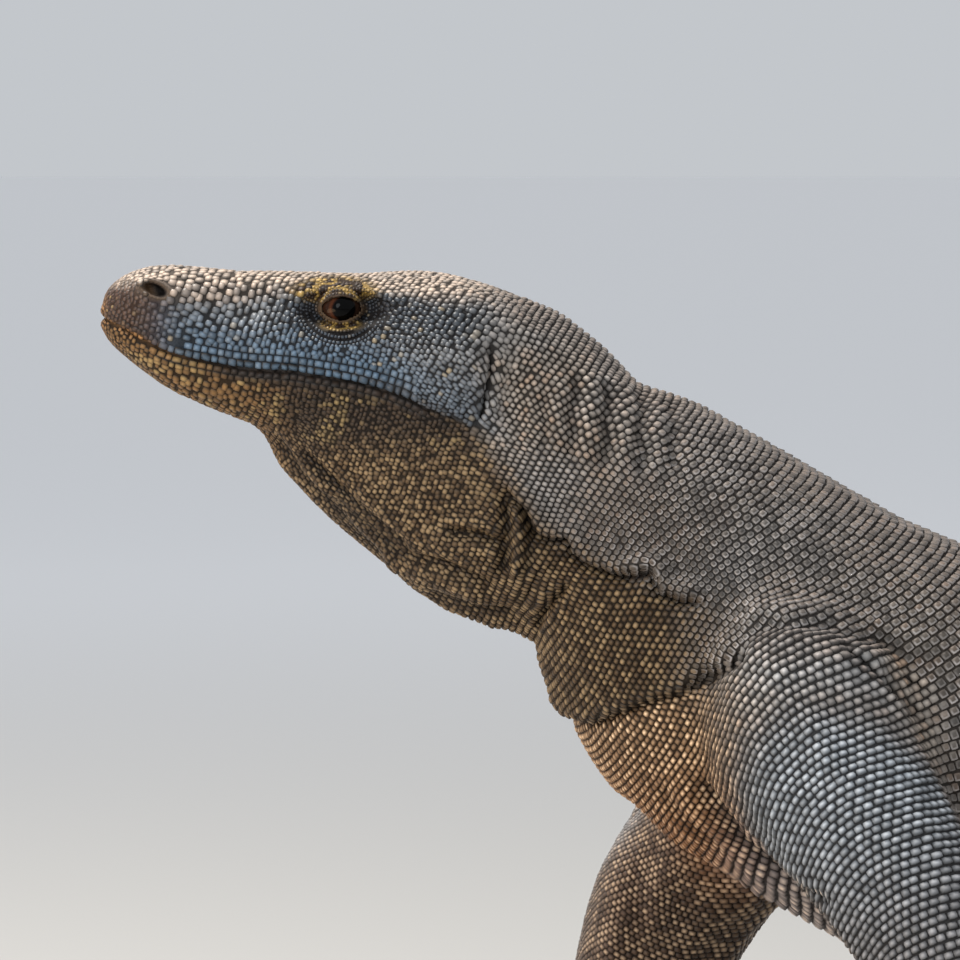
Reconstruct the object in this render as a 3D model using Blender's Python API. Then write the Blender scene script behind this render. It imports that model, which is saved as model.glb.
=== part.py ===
"""A life-size Komodo dragon, walking with its head raised: solids of hide, eyes and claws.

Metres, +Z up. The head points to -X, and the animal's left side is towards -Y. The flesh is modelled whole,
as tubes that are fused and smoothed, and is then parted by thin cuts into head, jaw, neck, trunk, tail and
legs. Everything is drawn in a body frame whose Y = 0 plane holds the head and neck, and is moved at the end so
that the middle of the whole animal's box stands over the origin, with its soles at Z = 0.
"""

import math

import bmesh
import bpy
import numpy as np
from mathutils import Matrix, Vector
from mathutils.bvhtree import BVHTree

UP = Vector((0, 0, 1))
LEFT_TO_RIGHT = Vector((0, 1, 0))

# Driving sizes
RING_POINTS = 32  # points round the body
LIMB_POINTS = 18  # points round a leg or a toe
CLAW_POINTS = 6  # points round a claw
BALL_POINTS = 12  # points round an eyeball
FUSE_VOXEL = 0.0042  # cell of the remesh that fuses the tubes
FUSE_SMOOTHING = 7
CUT = 0.0005  # width of the thin cuts between neighbouring solids
FIT = 0.0003  # gap round an eyeball or a claw's root
FLESH_FACES = 4300  # triangles of the flesh before it is cut
EYE_RADIUS = 0.0105
EYE_PLACE = (-0.0685, 0.487)  # X and Z of the eyes
EYE_SUNK = 0.0090  # from the surface of the head in to the eye's centre
CLAW_LENGTH = 0.027
CLAW_RADIUS = 0.0047
CLAW_ROOT = 0.0035  # how far the claw starts inside the toe's end
CLAW_RISE = 0.0042  # of the claw's root above the middle of the toe's tip
CLAW_DROP = math.radians(62)  # how far the claw turns down along its length
CLAW_TIP_Z = 0.0016

# Head: X, top, underside of the jaw and half the width, from the snout to inside the neck
HEAD_ROWS = (
    (-0.1900, 0.4875, 0.4760, 0.0060),
    (-0.1885, 0.4940, 0.4710, 0.0125),
    (-0.1850, 0.4992, 0.4668, 0.0178),
    (-0.1785, 0.5035, 0.4612, 0.0225),
    (-0.1680, 0.5078, 0.4530, 0.0262),
    (-0.1540, 0.5086, 0.4440, 0.0285),
    (-0.1240, 0.5058, 0.4310, 0.0320),
    (-0.1030, 0.5054, 0.4240, 0.0365),
    (-0.0810, 0.5050, 0.4185, 0.0420),
    (-0.0590, 0.5042, 0.4150, 0.0468),
    (-0.0300, 0.5056, 0.4120, 0.0535),
    (-0.0050, 0.5015, 0.4130, 0.0570),
    (0.0200, 0.4920, 0.4200, 0.0530),
    (0.0450, 0.4760, 0.4300, 0.0380),
)
ROUND = 2.0  # exponent of a round section; a higher one is boxier
HEAD_SQUARE = 2.5

# Throat to tail: X, Z, backward lean of the section in degrees, half depth, half width and sideways shift
BODY_ROWS = (
    (-0.1000, 0.4440, 29, 0.0180, 0.0160, 0.000),
    (-0.0850, 0.4450, 30, 0.0385, 0.0290, 0.000),
    (-0.0605, 0.4470, 30, 0.0600, 0.0420, 0.000),
    (-0.0360, 0.4378, 30, 0.0712, 0.0500, 0.000),
    (0.0040, 0.4146, 27, 0.0785, 0.0570, 0.000),
    (0.0280, 0.3990, 28, 0.0760, 0.0590, 0.000),
    (0.0528, 0.3855, 23, 0.0692, 0.0615, 0.000),
    (0.0743, 0.3648, 26, 0.0818, 0.0680, 0.000),
    (0.1200, 0.3235, 25, 0.0958, 0.0820, 0.000),
    (0.1860, 0.2810, 25, 0.1014, 0.0940, 0.002),
    (0.2650, 0.2475, 16, 0.1072, 0.1060, 0.008),
    (0.4100, 0.2220, 5, 0.1100, 0.1320, 0.020),
    (0.6000, 0.2170, 0, 0.1090, 0.1410, 0.026),
    (0.7850, 0.2245, -3, 0.0995, 0.1240, 0.016),
    (0.9300, 0.2310, -7, 0.0835, 0.0960, 0.000),
    (1.0350, 0.2270, -12, 0.0730, 0.0710, -0.010),
    (1.2000, 0.1810, -18, 0.0570, 0.0500, -0.034),
    (1.4000, 0.1200, -16, 0.0440, 0.0360, -0.052),
    (1.6000, 0.0715, -12, 0.0335, 0.0262, -0.040),
    (1.8000, 0.0385, -8, 0.0250, 0.0188, 0.002),
    (1.9700, 0.0190, -4, 0.0182, 0.0134, 0.050),
    (2.1200, 0.0115, 0, 0.0128, 0.0095, 0.092),
    (2.2300, 0.0075, 0, 0.0087, 0.0066, 0.116),
    (2.2750, 0.0050, 0, 0.0058, 0.0045, 0.124),
)
BODY_SQUARE = 2.15
ROWS_BETWEEN = 4  # sections drawn for each one listed

# Legs: the way from inside the trunk to the wrist or ankle, with the radius at each point
FORE_LEFT = (
    (0.148, -0.045, 0.318, 0.048),
    (0.163, -0.084, 0.279, 0.050),
    (0.190, -0.122, 0.232, 0.0425),
    (0.214, -0.146, 0.194, 0.0385),
    (0.233, -0.164, 0.156, 0.0365),
    (0.230, -0.173, 0.110, 0.0320),
    (0.218, -0.184, 0.066, 0.0240),
    (0.208, -0.190, 0.036, 0.0215),
)
FORE_RIGHT = (
    (0.147, 0.045, 0.312, 0.048),
    (0.162, 0.084, 0.270, 0.049),
    (0.134, 0.120, 0.216, 0.0470),
    (0.111, 0.140, 0.180, 0.0440),
    (0.096, 0.154, 0.146, 0.0400),
    (0.080, 0.170, 0.102, 0.0330),
    (0.058, 0.184, 0.062, 0.0245),
    (0.046, 0.190, 0.036, 0.0215),
)
HIND_LEFT = (
    (0.940, -0.030, 0.240, 0.060),
    (0.915, -0.085, 0.222, 0.060),
    (0.860, -0.135, 0.203, 0.0520),
    (0.815, -0.172, 0.184, 0.0400),
    (0.800, -0.190, 0.158, 0.0370),
    (0.814, -0.200, 0.118, 0.0340),
    (0.832, -0.210, 0.070, 0.0245),
    (0.838, -0.214, 0.036, 0.0220),
)
HIND_RIGHT = (
    (0.940, 0.030, 0.240, 0.060),
    (0.930, 0.085, 0.220, 0.060),
    (0.932, 0.148, 0.200, 0.0520),
    (0.930, 0.198, 0.180, 0.0400),
    (0.938, 0.220, 0.154, 0.0370),
    (0.962, 0.232, 0.116, 0.0340),
    (0.992, 0.244, 0.070, 0.0245),
    (1.006, 0.250, 0.036, 0.0220),
)

# Feet: ankle point on the floor, heading of the middle toe in degrees (180 points to -X), and the outer side
FEET = {
    "fore_left": ((0.206, -0.190), 194, -1, FORE_LEFT),
    "fore_right": ((0.042, 0.191), 168, 1, FORE_RIGHT),
    "hind_left": ((0.838, -0.216), 200, -1, HIND_LEFT),
    "hind_right": ((1.010, 0.252), 142, 1, HIND_RIGHT),
}
# Toes: angle out from the middle, sideways place of the root, and reach from the palm's middle
HAND_TOES = (
    (-52, -0.013, 0.040),
    (-25, -0.009, 0.055),
    (-3, 0.000, 0.062),
    (20, 0.010, 0.058),
    (52, 0.015, 0.042),
)
FOOT_TOES = (
    (-40, -0.013, 0.046),
    (-20, -0.008, 0.062),
    (-3, 0.000, 0.076),
    (14, 0.009, 0.084),
    (58, 0.014, 0.052),
)
# Along every toe: share of its length, lift off the floor, and girth, with a knuckle before the claw
TOE_SHAPE = (
    (0.0, 0.0030, 1.08),
    (0.42, 0.0050, 1.04),
    (0.62, 0.0030, 0.92),
    (0.84, 0.0008, 1.0),
    (1.0, 0.0, 0.90),
)
PALM_RADII = {"fore": (0.036, 0.029, 0.019), "hind": (0.050, 0.030, 0.020)}
PALM_REACH = {"fore": 0.020, "hind": 0.026}
TOE_RADIUS = 0.0105
TOE_SOLE = 0.0020  # how far the undersides reach below the floor before they are cut flat

# Muscles and hollows, the same on both sides: middle, radii of the ellipsoid they reach, and rise of the hide
RELIEF = {
    "brow": ((-0.070, 0.0370, 0.4975), (0.030, 0.014, 0.0085), 0.0042),
    "orbit": ((-0.0685, 0.0420, 0.4865), (0.016, 0.016, 0.0120), -0.0026),
    "snout_side": ((-0.118, 0.0310, 0.4890), (0.036, 0.014, 0.0140), -0.0042),
    "nostril_rise": ((-0.164, 0.0230, 0.4960), (0.015, 0.012, 0.0120), 0.0022),
    "upper_lip": ((-0.090, 0.0420, 0.4660), (0.075, 0.020, 0.0110), 0.0022),
    "lower_lip": ((-0.095, 0.0360, 0.4480), (0.070, 0.022, 0.0100), 0.0014),
    "temple": ((-0.040, 0.0480, 0.4860), (0.020, 0.018, 0.0130), -0.0030),
    "jaw_muscle": ((-0.020, 0.0580, 0.4520), (0.036, 0.026, 0.0330), 0.0062),
    "behind_jaw": ((0.018, 0.0560, 0.4380), (0.014, 0.026, 0.0480), -0.0046),
    "throat_side": ((-0.055, 0.0380, 0.4020), (0.050, 0.022, 0.0190), -0.0030),
    "shoulder": ((0.165, 0.1020, 0.3100), (0.060, 0.040, 0.0560), 0.0080),
    "breast": ((0.120, 0.0650, 0.2480), (0.050, 0.050, 0.0450), 0.0050),
    "behind_shoulder": ((0.285, 0.1080, 0.2700), (0.050, 0.050, 0.0850), -0.0100),
    "flank": ((0.780, 0.1250, 0.2050), (0.060, 0.050, 0.0750), -0.0080),
    "rump": ((0.960, 0.0700, 0.2850), (0.070, 0.050, 0.0450), 0.0060),
}

# Thin cuts: middle, direction across the cut, and radius of the disc
CUTS = {
    "head_back": ((0.012, 0.0, 0.4300), (1.0, 0.0, -0.20), 0.115),
    "neck_back": ((0.115, 0.0, 0.3300), (1.0, 0.0, -0.35), 0.122),
    "tail_root": ((1.030, -0.010, 0.2270), (1.0, -0.12, -0.22), 0.110),
    "tail_middle": ((1.400, -0.052, 0.1200), (1.0, 0.0, -0.28), 0.080),
    "tail_end": ((1.800, 0.002, 0.0385), (1.0, 0.25, -0.14), 0.060),
    "fore_left": ((0.178, -0.108, 0.2550), (0.0, -0.90, -0.40), 0.078),
    "fore_right": ((0.144, 0.113, 0.2440), (-0.2, 0.87, -0.43), 0.078),
    "hind_left": ((0.878, -0.119, 0.2120), (0.0, -0.93, -0.37), 0.098),
    "hind_right": ((0.932, 0.127, 0.2060), (0.0, 0.93, -0.37), 0.073),
}

LIMB_JOINTS = ((4, 0.062), (6, 0.044))  # points of each leg's way where it is cut again, and discs' radii

# Where the lips meet, from the snout to behind the corner of the mouth: X and Z
MOUTH_LINE = (
    (-0.2050, 0.4860),
    (-0.1895, 0.4820),
    (-0.1780, 0.4765),
    (-0.1540, 0.4640),
    (-0.1350, 0.4600),
    (-0.1180, 0.4570),
    (-0.0915, 0.4555),
    (-0.0620, 0.4510),
    (-0.0385, 0.4445),
    (-0.0245, 0.4375),
    (-0.0050, 0.4310),
    (0.0114, 0.4270),
)
MOUTH_REACH = 0.085  # half the width of the cut between the lips
NOSTRIL = ((-0.1610, 0.0255, 0.4965), (0.0064, 0.0060, 0.0030), -24)  # middle, radii, pitch in degrees
EAR_SLIT = ((0.0005, 0.0580, 0.4500), (0.0022, 0.0090, 0.0170), -10)

HIDES = {  # colour, roughness
    "hide_head": ((0.20, 0.21, 0.23), 0.60),
    "hide_body": ((0.21, 0.20, 0.18), 0.65),
    "hide_throat": ((0.24, 0.19, 0.13), 0.65),
    "hide_leg": ((0.19, 0.19, 0.19), 0.62),
    "horn": ((0.055, 0.048, 0.042), 0.35),
    "eyeball": ((0.012, 0.009, 0.008), 0.08),
}


def clear_scene():
    for thing in list(bpy.data.objects):
        bpy.data.objects.remove(thing)


def material_of(name):
    """A plain finish of that name, made once."""
    if name in bpy.data.materials:
        return bpy.data.materials[name]
    colour, roughness = HIDES[name]
    made = bpy.data.materials.new(name)
    made.use_nodes = True
    shader = made.node_tree.nodes["Principled BSDF"]
    shader.inputs["Base Color"].default_value = (*colour, 1.0)
    shader.inputs["Roughness"].default_value = roughness
    shader.inputs["Metallic"].default_value = 0.0
    return made


def smooth_rows(rows, between):
    """Rows on a Catmull-Rom curve through the given ones, with some between each pair."""
    rows = np.array(rows, float)
    ends = np.vstack([2 * rows[0] - rows[1], rows, 2 * rows[-1] - rows[-2]])
    made = []
    for before, start, end, after in zip(ends, ends[1:], ends[2:], ends[3:]):
        for t in np.arange(between) / between:
            made.append(
                0.5
                * (
                    2 * start
                    + (end - before) * t
                    + (2 * before - 5 * start + 4 * end - after) * t**2
                    + (3 * start - before - 3 * end + after) * t**3
                )
            )
    return np.array(made + [rows[-1]])


def section(centre, up, across, height, width, square, points):
    """A closed ring on a superellipse: round at square 2, and boxier above it."""
    turns = np.arange(points) * 2 * math.pi / points
    side = np.sign(np.cos(turns)) * np.abs(np.cos(turns)) ** (2 / square) * width
    rise = np.sign(np.sin(turns)) * np.abs(np.sin(turns)) ** (2 / square) * height
    return [centre + across * s + up * r for s, r in zip(side, rise)]


def loft(bm, rings):
    """Skins a closed tube through the rings."""
    loops = []
    for ring in rings:
        verts = [bm.verts.new(point) for point in ring]
        loops.append([bm.edges.new(pair) for pair in zip(verts, verts[1:] + verts[:1])])
    for near, far in zip(loops, loops[1:]):
        bmesh.ops.bridge_loops(bm, edges=near + far)
    for end in (loops[0], loops[-1]):
        bmesh.ops.contextual_create(bm, geom=end)


def add_head(bm):
    rings = []
    for x, top, bottom, width in smooth_rows(HEAD_ROWS, ROWS_BETWEEN):
        centre = Vector((x, 0, (top + bottom) / 2))
        height = (top - bottom) / 2
        rings.append(section(centre, UP, LEFT_TO_RIGHT, height, width, HEAD_SQUARE, RING_POINTS))
    loft(bm, rings)


def add_body(bm):
    rows = smooth_rows(BODY_ROWS, ROWS_BETWEEN)
    headings = np.gradient(rows[:, 5], rows[:, 0])
    rings = []
    for (x, z, lean, depth, width, shift), slope in zip(rows, headings):
        up = Vector((math.sin(math.radians(lean)), 0, math.cos(math.radians(lean))))
        across = Vector((-slope, 1, 0)).normalized()
        rings.append(section(Vector((x, shift, z)), up, across, depth, width, BODY_SQUARE, RING_POINTS))
    loft(bm, rings)


def tube(bm, rows, points, between=ROWS_BETWEEN):
    """A round tube along rows of X, Y, Z and radius, with rounded ends."""
    rows = smooth_rows(rows, between)
    places = [Vector(row[:3]) for row in rows]
    rings = []
    for i, place in enumerate(places):
        along = (places[min(i + 1, len(places) - 1)] - places[max(i - 1, 0)]).normalized()
        across = along.cross(UP)
        if across.length < 0.25:  # a steep stretch: its width lies across the body
            across = along.cross(Vector((1, 0, 0)))
        across.normalize()
        radius = rows[i][3]
        rings.append(section(place, across.cross(along), across, radius, radius, ROUND, points))
    caps = []
    for end, beyond in ((0, 1), (-1, -2)):
        tip = places[end] + (places[end] - places[beyond]).normalized() * rows[end][3] * 0.45
        caps.append([tip.lerp(point, 0.55) for point in rings[end]])
    loft(bm, [caps[0], *rings, caps[1]])


def foot_frame(name):
    """The place of a foot's own axes: X along the middle toe, Y towards its outer side, Z up."""
    (x, y), heading, outer, _ = FEET[name]
    return Matrix.Translation((x, y, 0)) @ Matrix.Rotation(math.radians(heading), 4, "Z") @ Matrix.Diagonal(
        (1, -outer, 1, 1)
    )


def toe_path(foot, toe):
    """A toe's rows in its foot's axes, root to tip, and its direction."""
    spread, root, reach = (HAND_TOES if foot.startswith("fore") else FOOT_TOES)[toe]
    start = PALM_REACH[foot[:4]] * 0.6
    away = Vector((math.cos(math.radians(spread)), math.sin(math.radians(spread)), 0))
    rows = []
    for share, lift, swell in TOE_SHAPE:
        place = Vector((start, root, 0)) + away * reach * share
        rows.append((place.x, place.y, TOE_RADIUS * swell + lift - TOE_SOLE, TOE_RADIUS * swell))
    return rows, away


def add_foot(bm, name):
    frame = foot_frame(name)
    kind = name[:4]
    radii = PALM_RADII[kind]
    made = bmesh.ops.create_uvsphere(bm, u_segments=20, v_segments=12, radius=1.0)["verts"]
    centre = Matrix.Translation((PALM_REACH[kind] * 0.55, 0, radii[2] - TOE_SOLE))
    bmesh.ops.transform(bm, matrix=frame @ centre @ Matrix.Diagonal((*radii, 1)), verts=made)
    for toe in range(5):
        rows, _ = toe_path(name, toe)
        placed = [(*(frame @ Vector(row[:3])), row[3]) for row in rows]
        tube(bm, placed, LIMB_POINTS)


def object_from(bm, name):
    bmesh.ops.recalc_face_normals(bm, faces=bm.faces)
    mesh = bpy.data.meshes.new(name)
    bm.to_mesh(mesh)
    bm.free()
    made = bpy.data.objects.new(name, mesh)
    bpy.context.scene.collection.objects.link(made)
    return made


def settle(thing):
    """Replaces an object's mesh by what its modifiers make of it."""
    graph = bpy.context.evaluated_depsgraph_get()
    graph.update()
    mesh = bpy.data.meshes.new_from_object(thing.evaluated_get(graph), depsgraph=graph)
    thing.modifiers.clear()
    thing.data = mesh


def fused_flesh():
    """Head, body, legs and feet as one smooth closed mesh."""
    bm = bmesh.new()
    add_head(bm)
    add_body(bm)
    for name, (_, _, _, way) in FEET.items():
        tube(bm, way, LIMB_POINTS)
        add_foot(bm, name)
    flesh = object_from(bm, "flesh")
    fuse = flesh.modifiers.new("fuse", "REMESH")
    fuse.mode = "VOXEL"
    fuse.voxel_size = FUSE_VOXEL
    soften = flesh.modifiers.new("soften", "SMOOTH")
    soften.factor = 0.5
    soften.iterations = FUSE_SMOOTHING
    settle(flesh)
    return flesh


def shape_relief(mesh):
    """Raises the muscles and sinks the hollows, on both sides of the head, neck and trunk."""
    count = len(mesh.vertices)
    places = np.empty(count * 3)
    normals = np.empty(count * 3)
    mesh.vertices.foreach_get("co", places)
    mesh.vertices.foreach_get("normal", normals)
    places, normals = places.reshape(-1, 3), normals.reshape(-1, 3)
    rise = np.zeros(count)
    for middle, radii, amount in RELIEF.values():
        for side in (-1, 1):
            gap = (places - np.array(middle) * (1, side, 1)) / np.array(radii)
            rise += amount * np.clip(1 - (gap**2).sum(1), 0, 1) ** 2
    mesh.vertices.foreach_set("co", (places + normals * rise[:, None]).ravel())
    mesh.update()


def detail_weight(place):
    """How closely the flesh is faceted there: most on the face and the feet, least on the trunk and tail."""
    head = min(1.0, max(0.0, (0.03 - place.x) / 0.06)) * 0.95
    neck = min(1.0, max(0.0, (0.20 - place.x) / 0.14)) * 0.45
    if 0.30 < place.x < 0.72 or place.x > 1.15:
        return neck
    foot = min(1.0, max(0.0, (0.05 - place.z) / 0.03)) * 0.75
    leg = min(1.0, max(0.0, (abs(place.y) - 0.12) / 0.03)) * 0.4
    return max(head, neck, foot, leg)


def thin_out(flesh):
    """Brings the flesh down to FLESH_FACES triangles."""
    group = flesh.vertex_groups.new(name="readily")
    for vert in flesh.data.vertices:
        group.add([vert.index], 1.0 - 0.5 * detail_weight(vert.co), "REPLACE")
    triangles = sum(len(face.vertices) - 2 for face in flesh.data.polygons)
    thin = flesh.modifiers.new("thin", "DECIMATE")
    thin.ratio = FLESH_FACES / triangles
    thin.vertex_group = group.name
    thin.vertex_group_factor = 1.0
    settle(flesh)


def level_soles(flesh):
    """Cuts the feet and the end of the tail flat at the floor."""
    bm = bmesh.new()
    bm.from_mesh(flesh.data)
    everything = bm.verts[:] + bm.edges[:] + bm.faces[:]
    bmesh.ops.bisect_plane(bm, geom=everything, plane_co=(0, 0, 0), plane_no=(0, 0, 1), clear_inner=True)
    rims = [edge for edge in bm.edges if edge.is_boundary]
    bmesh.ops.holes_fill(bm, edges=rims, sides=0)
    bmesh.ops.triangulate(bm, faces=[face for face in bm.faces if len(face.verts) > 4])
    bmesh.ops.recalc_face_normals(bm, faces=bm.faces)
    bm.to_mesh(flesh.data)
    bm.free()


def disc(bm, middle, across, radius):
    """A round sheet as thick as a thin cut."""
    turn = Vector(across).to_track_quat("Z", "Y").to_matrix().to_4x4()
    bmesh.ops.create_cone(
        bm,
        cap_ends=True,
        segments=24,
        radius1=radius,
        radius2=radius,
        depth=CUT,
        matrix=Matrix.Translation(middle) @ turn,
    )


def joint_disc(bm, name, joint, radius):
    """A cut across a leg at a point of its way."""
    way = np.array(FEET[name][3])[:, :3]
    disc(bm, way[joint], Vector(way[joint + 1] - way[joint - 1]), radius)


def mouth_sheet(bm):
    """A curved sheet between the lips, from the snout to the cut behind the head."""
    line = smooth_rows(MOUTH_LINE, 2)
    slopes = np.gradient(line[:, 1], line[:, 0])
    upper, lower = [], []
    for (x, z), slope in zip(line, slopes):
        away = Vector((-slope, 0, 1)).normalized() * CUT / 2
        upper.append(Vector((x, -MOUTH_REACH, z)) + away)
        lower.append(Vector((x, -MOUTH_REACH, z)) - away)
    side = bm.faces.new([bm.verts.new(point) for point in upper + lower[::-1]])
    made = bmesh.ops.extrude_face_region(bm, geom=[side])["geom"]
    moved = [thing for thing in made if isinstance(thing, bmesh.types.BMVert)]
    bmesh.ops.translate(bm, vec=(0, 2 * MOUTH_REACH, 0), verts=moved)


def ellipsoid(bm, middle, radii, pitch, side):
    made = bmesh.ops.create_uvsphere(bm, u_segments=8, v_segments=6, radius=1.0)["verts"]
    place = Matrix.Translation(Vector(middle) * Vector((1, side, 1)))
    turn = Matrix.Rotation(math.radians(-pitch), 4, "Y")
    bmesh.ops.transform(bm, matrix=place @ turn @ Matrix.Diagonal((*radii, 1)), verts=made)


def cut_away(flesh, cutter, name):
    """Subtracts a helper object from the flesh."""
    cutter.hide_render = True
    cutter.display_type = "WIRE"
    cut = flesh.modifiers.new(name, "BOOLEAN")
    cut.operation = "DIFFERENCE"
    cut.solver = "EXACT"
    cut.object = cutter
    settle(flesh)
    bpy.data.objects.remove(cutter)


def eye_centres(flesh):
    """Where the eyes sit: EYE_SUNK inside the hide on each side."""
    tree = BVHTree.FromObject(flesh, bpy.context.evaluated_depsgraph_get())
    centres = {}
    for side, name in ((-1, "eye_left"), (1, "eye_right")):
        hit = tree.ray_cast(Vector((EYE_PLACE[0], side, EYE_PLACE[1])), Vector((0, -side, 0)))[0]
        centres[name] = Vector((hit.x, hit.y - side * EYE_SUNK, hit.z))
    return centres


def make_eyes(centres):
    for name, centre in centres.items():
        bm = bmesh.new()
        place = Matrix.Translation(centre) @ Matrix.Rotation(math.pi / 2, 4, "X")
        bmesh.ops.create_uvsphere(
            bm, u_segments=BALL_POINTS, v_segments=8, radius=EYE_RADIUS, matrix=place
        )
        eye = object_from(bm, name)
        eye.data.materials.append(material_of("eyeball"))
        eye.data.shade_smooth()


def claw_rows(foot, toe, grow=0.0):
    """A claw's rows in world axes: out of the toe's tip, and down in an arc to the floor."""
    rows, away = toe_path(foot, toe)
    tip = Vector(rows[-1][:3])
    bend = CLAW_LENGTH / CLAW_DROP
    made = []
    for share in (0.0, 0.34, 0.67, 1.0):
        ahead = bend * math.sin(CLAW_DROP * share) + TOE_RADIUS * 0.45 - (CLAW_ROOT + grow) * (1 - share)
        fall = bend * (1 - math.cos(CLAW_DROP * share)) * 0.72
        place = tip + away * ahead + UP * (CLAW_RISE - fall)
        place.z = max(place.z, CLAW_TIP_Z)
        radius = CLAW_RADIUS * (1 - 0.86 * share**1.3) + grow
        made.append((*(foot_frame(foot) @ place), radius))
    return made


def make_claws():
    for foot in FEET:
        for toe in range(5):
            bm = bmesh.new()
            tube(bm, claw_rows(foot, toe), CLAW_POINTS, between=1)
            claw = object_from(bm, f"claw_{foot}_{toe + 1}")
            claw.data.materials.append(material_of("horn"))
            claw.data.shade_smooth()


def hollow_out(flesh, centres):
    """Eye sockets, nostrils, ear slits and the sockets of the claws."""
    bm = bmesh.new()
    for centre in centres.values():
        bmesh.ops.create_uvsphere(
            bm,
            u_segments=BALL_POINTS,
            v_segments=8,
            radius=EYE_RADIUS + FIT,
            matrix=Matrix.Translation(centre) @ Matrix.Rotation(math.pi / 2, 4, "X"),
        )
    for side in (-1, 1):
        ellipsoid(bm, *NOSTRIL, side)
        ellipsoid(bm, *EAR_SLIT, side)
    cut_away(flesh, object_from(bm, "hollows"), "hollows")
    bm = bmesh.new()
    for foot in FEET:
        for toe in range(5):
            tube(bm, claw_rows(foot, toe, grow=FIT), CLAW_POINTS, between=1)
    cut_away(flesh, object_from(bm, "claw_roots"), "claw_roots")


def part_flesh(flesh):
    """The thin cuts between the named parts."""
    bm = bmesh.new()
    for middle, across, radius in CUTS.values():
        disc(bm, middle, across, radius)
    for name in FEET:
        for joint, radius in LIMB_JOINTS:
            joint_disc(bm, name, joint, radius)
    cut_away(flesh, object_from(bm, "cuts"), "cuts")
    bm = bmesh.new()
    mouth_sheet(bm)
    cut_away(flesh, object_from(bm, "lips"), "lips")


def part_middles():
    """The middle of each part's box, to know it by, and its finish."""
    middles = {
        "head": ((-0.09, 0, 0.470), "hide_head"),
        "lower_jaw": ((-0.09, 0, 0.410), "hide_throat"),
        "neck": ((0.06, 0, 0.370), "hide_body"),
        "trunk": ((0.56, 0.02, 0.250), "hide_body"),
        "tail_base": ((1.21, -0.040, 0.180), "hide_body"),
        "tail_middle": ((1.60, -0.030, 0.080), "hide_body"),
        "tail_end": ((2.04, 0.060, 0.030), "hide_body"),
    }
    names = {"fore": ("upper_arm", "forearm", "hand"), "hind": ("thigh", "shank", "foot")}
    for leg, (_, _, _, way) in FEET.items():
        side = leg[5:]
        for part, spot in zip(names[leg[:4]], (way[2], way[5], way[7])):
            middles[f"{part}_{side}"] = (spot[:3], "hide_leg")
    return middles


def loose_groups(mesh):
    """The vertex numbers of each separate body."""
    owner = np.arange(len(mesh.vertices))
    ends = np.array([edge.vertices[:] for edge in mesh.edges])
    while True:
        low = np.minimum(owner[ends[:, 0]], owner[ends[:, 1]])
        fresh = owner.copy()
        np.minimum.at(fresh, ends[:, 0], low)
        np.minimum.at(fresh, ends[:, 1], low)
        fresh = fresh[fresh]
        if (fresh == owner).all():
            return [np.flatnonzero(owner == root) for root in np.unique(owner)]
        owner = fresh


def separate_parts(flesh):
    """Gives each body of the parted flesh its own object, named by the nearest of the known middles."""
    mesh = flesh.data
    places = np.array([vert.co for vert in mesh.vertices])
    groups = loose_groups(mesh)
    middles = part_middles()
    if len(groups) != len(middles):
        raise RuntimeError(f"the cuts left {len(groups)} bodies, not {len(middles)}")
    centres = [(places[group].min(0) + places[group].max(0)) / 2 for group in groups]
    pairs = sorted(
        (np.linalg.norm(centre - np.array(spot)), name, number)
        for number, centre in enumerate(centres)
        for name, (spot, _) in middles.items()
    )
    for _, name, number in pairs:
        if name not in middles or groups[number] is None:
            continue
        bm = bmesh.new()
        bm.from_mesh(mesh)
        kept = set(groups[number].tolist())
        bmesh.ops.delete(bm, geom=[vert for vert in bm.verts if vert.index not in kept], context="VERTS")
        part = object_from(bm, name)
        part.data.materials.append(material_of(middles.pop(name)[1]))
        part.data.shade_smooth()
        part.data.set_sharp_from_angle(angle=math.radians(50))
        groups[number] = None
    bpy.data.objects.remove(flesh)


def stand_on_origin():
    """Moves the animal so that the middle of its box is over the origin."""
    corners = [thing.matrix_world @ Vector(c) for thing in bpy.data.objects for c in thing.bound_box]
    low = Vector(map(min, zip(*corners)))
    high = Vector(map(max, zip(*corners)))
    shift = Vector((-(low.x + high.x) / 2, -(low.y + high.y) / 2, 0))
    for thing in bpy.data.objects:
        thing.data.transform(Matrix.Translation(shift))


def main():
    clear_scene()
    flesh = fused_flesh()
    shape_relief(flesh.data)
    thin_out(flesh)
    level_soles(flesh)
    centres = eye_centres(flesh)
    hollow_out(flesh, centres)
    part_flesh(flesh)
    separate_parts(flesh)
    make_eyes(centres)
    make_claws()
    stand_on_origin()


main()
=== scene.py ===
"""The looks of a life-size Komodo dragon: one skin over its flesh, a coat of scales, eyes and claws.

The skin is the solids' own shape, made whole, smoothed and then folded and pleated as the hide is. Rows of
scales run round it: they are lines of equal distance from the snout, and each row takes its seats from the
row before it, half a scale aside. Places on the animal are given as the frame's, less ORIGIN, which puts
the middle of the head at Y = 0. The head points to -X and the animal's left side is towards -Y. Lines of
folds and borders of markings are (x, z) places in its side view.
"""

import heapq
import math
from collections import namedtuple

import bmesh
import bpy
import numpy as np
from mathutils import Matrix, Vector
from mathutils.bvhtree import BVHTree


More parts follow.
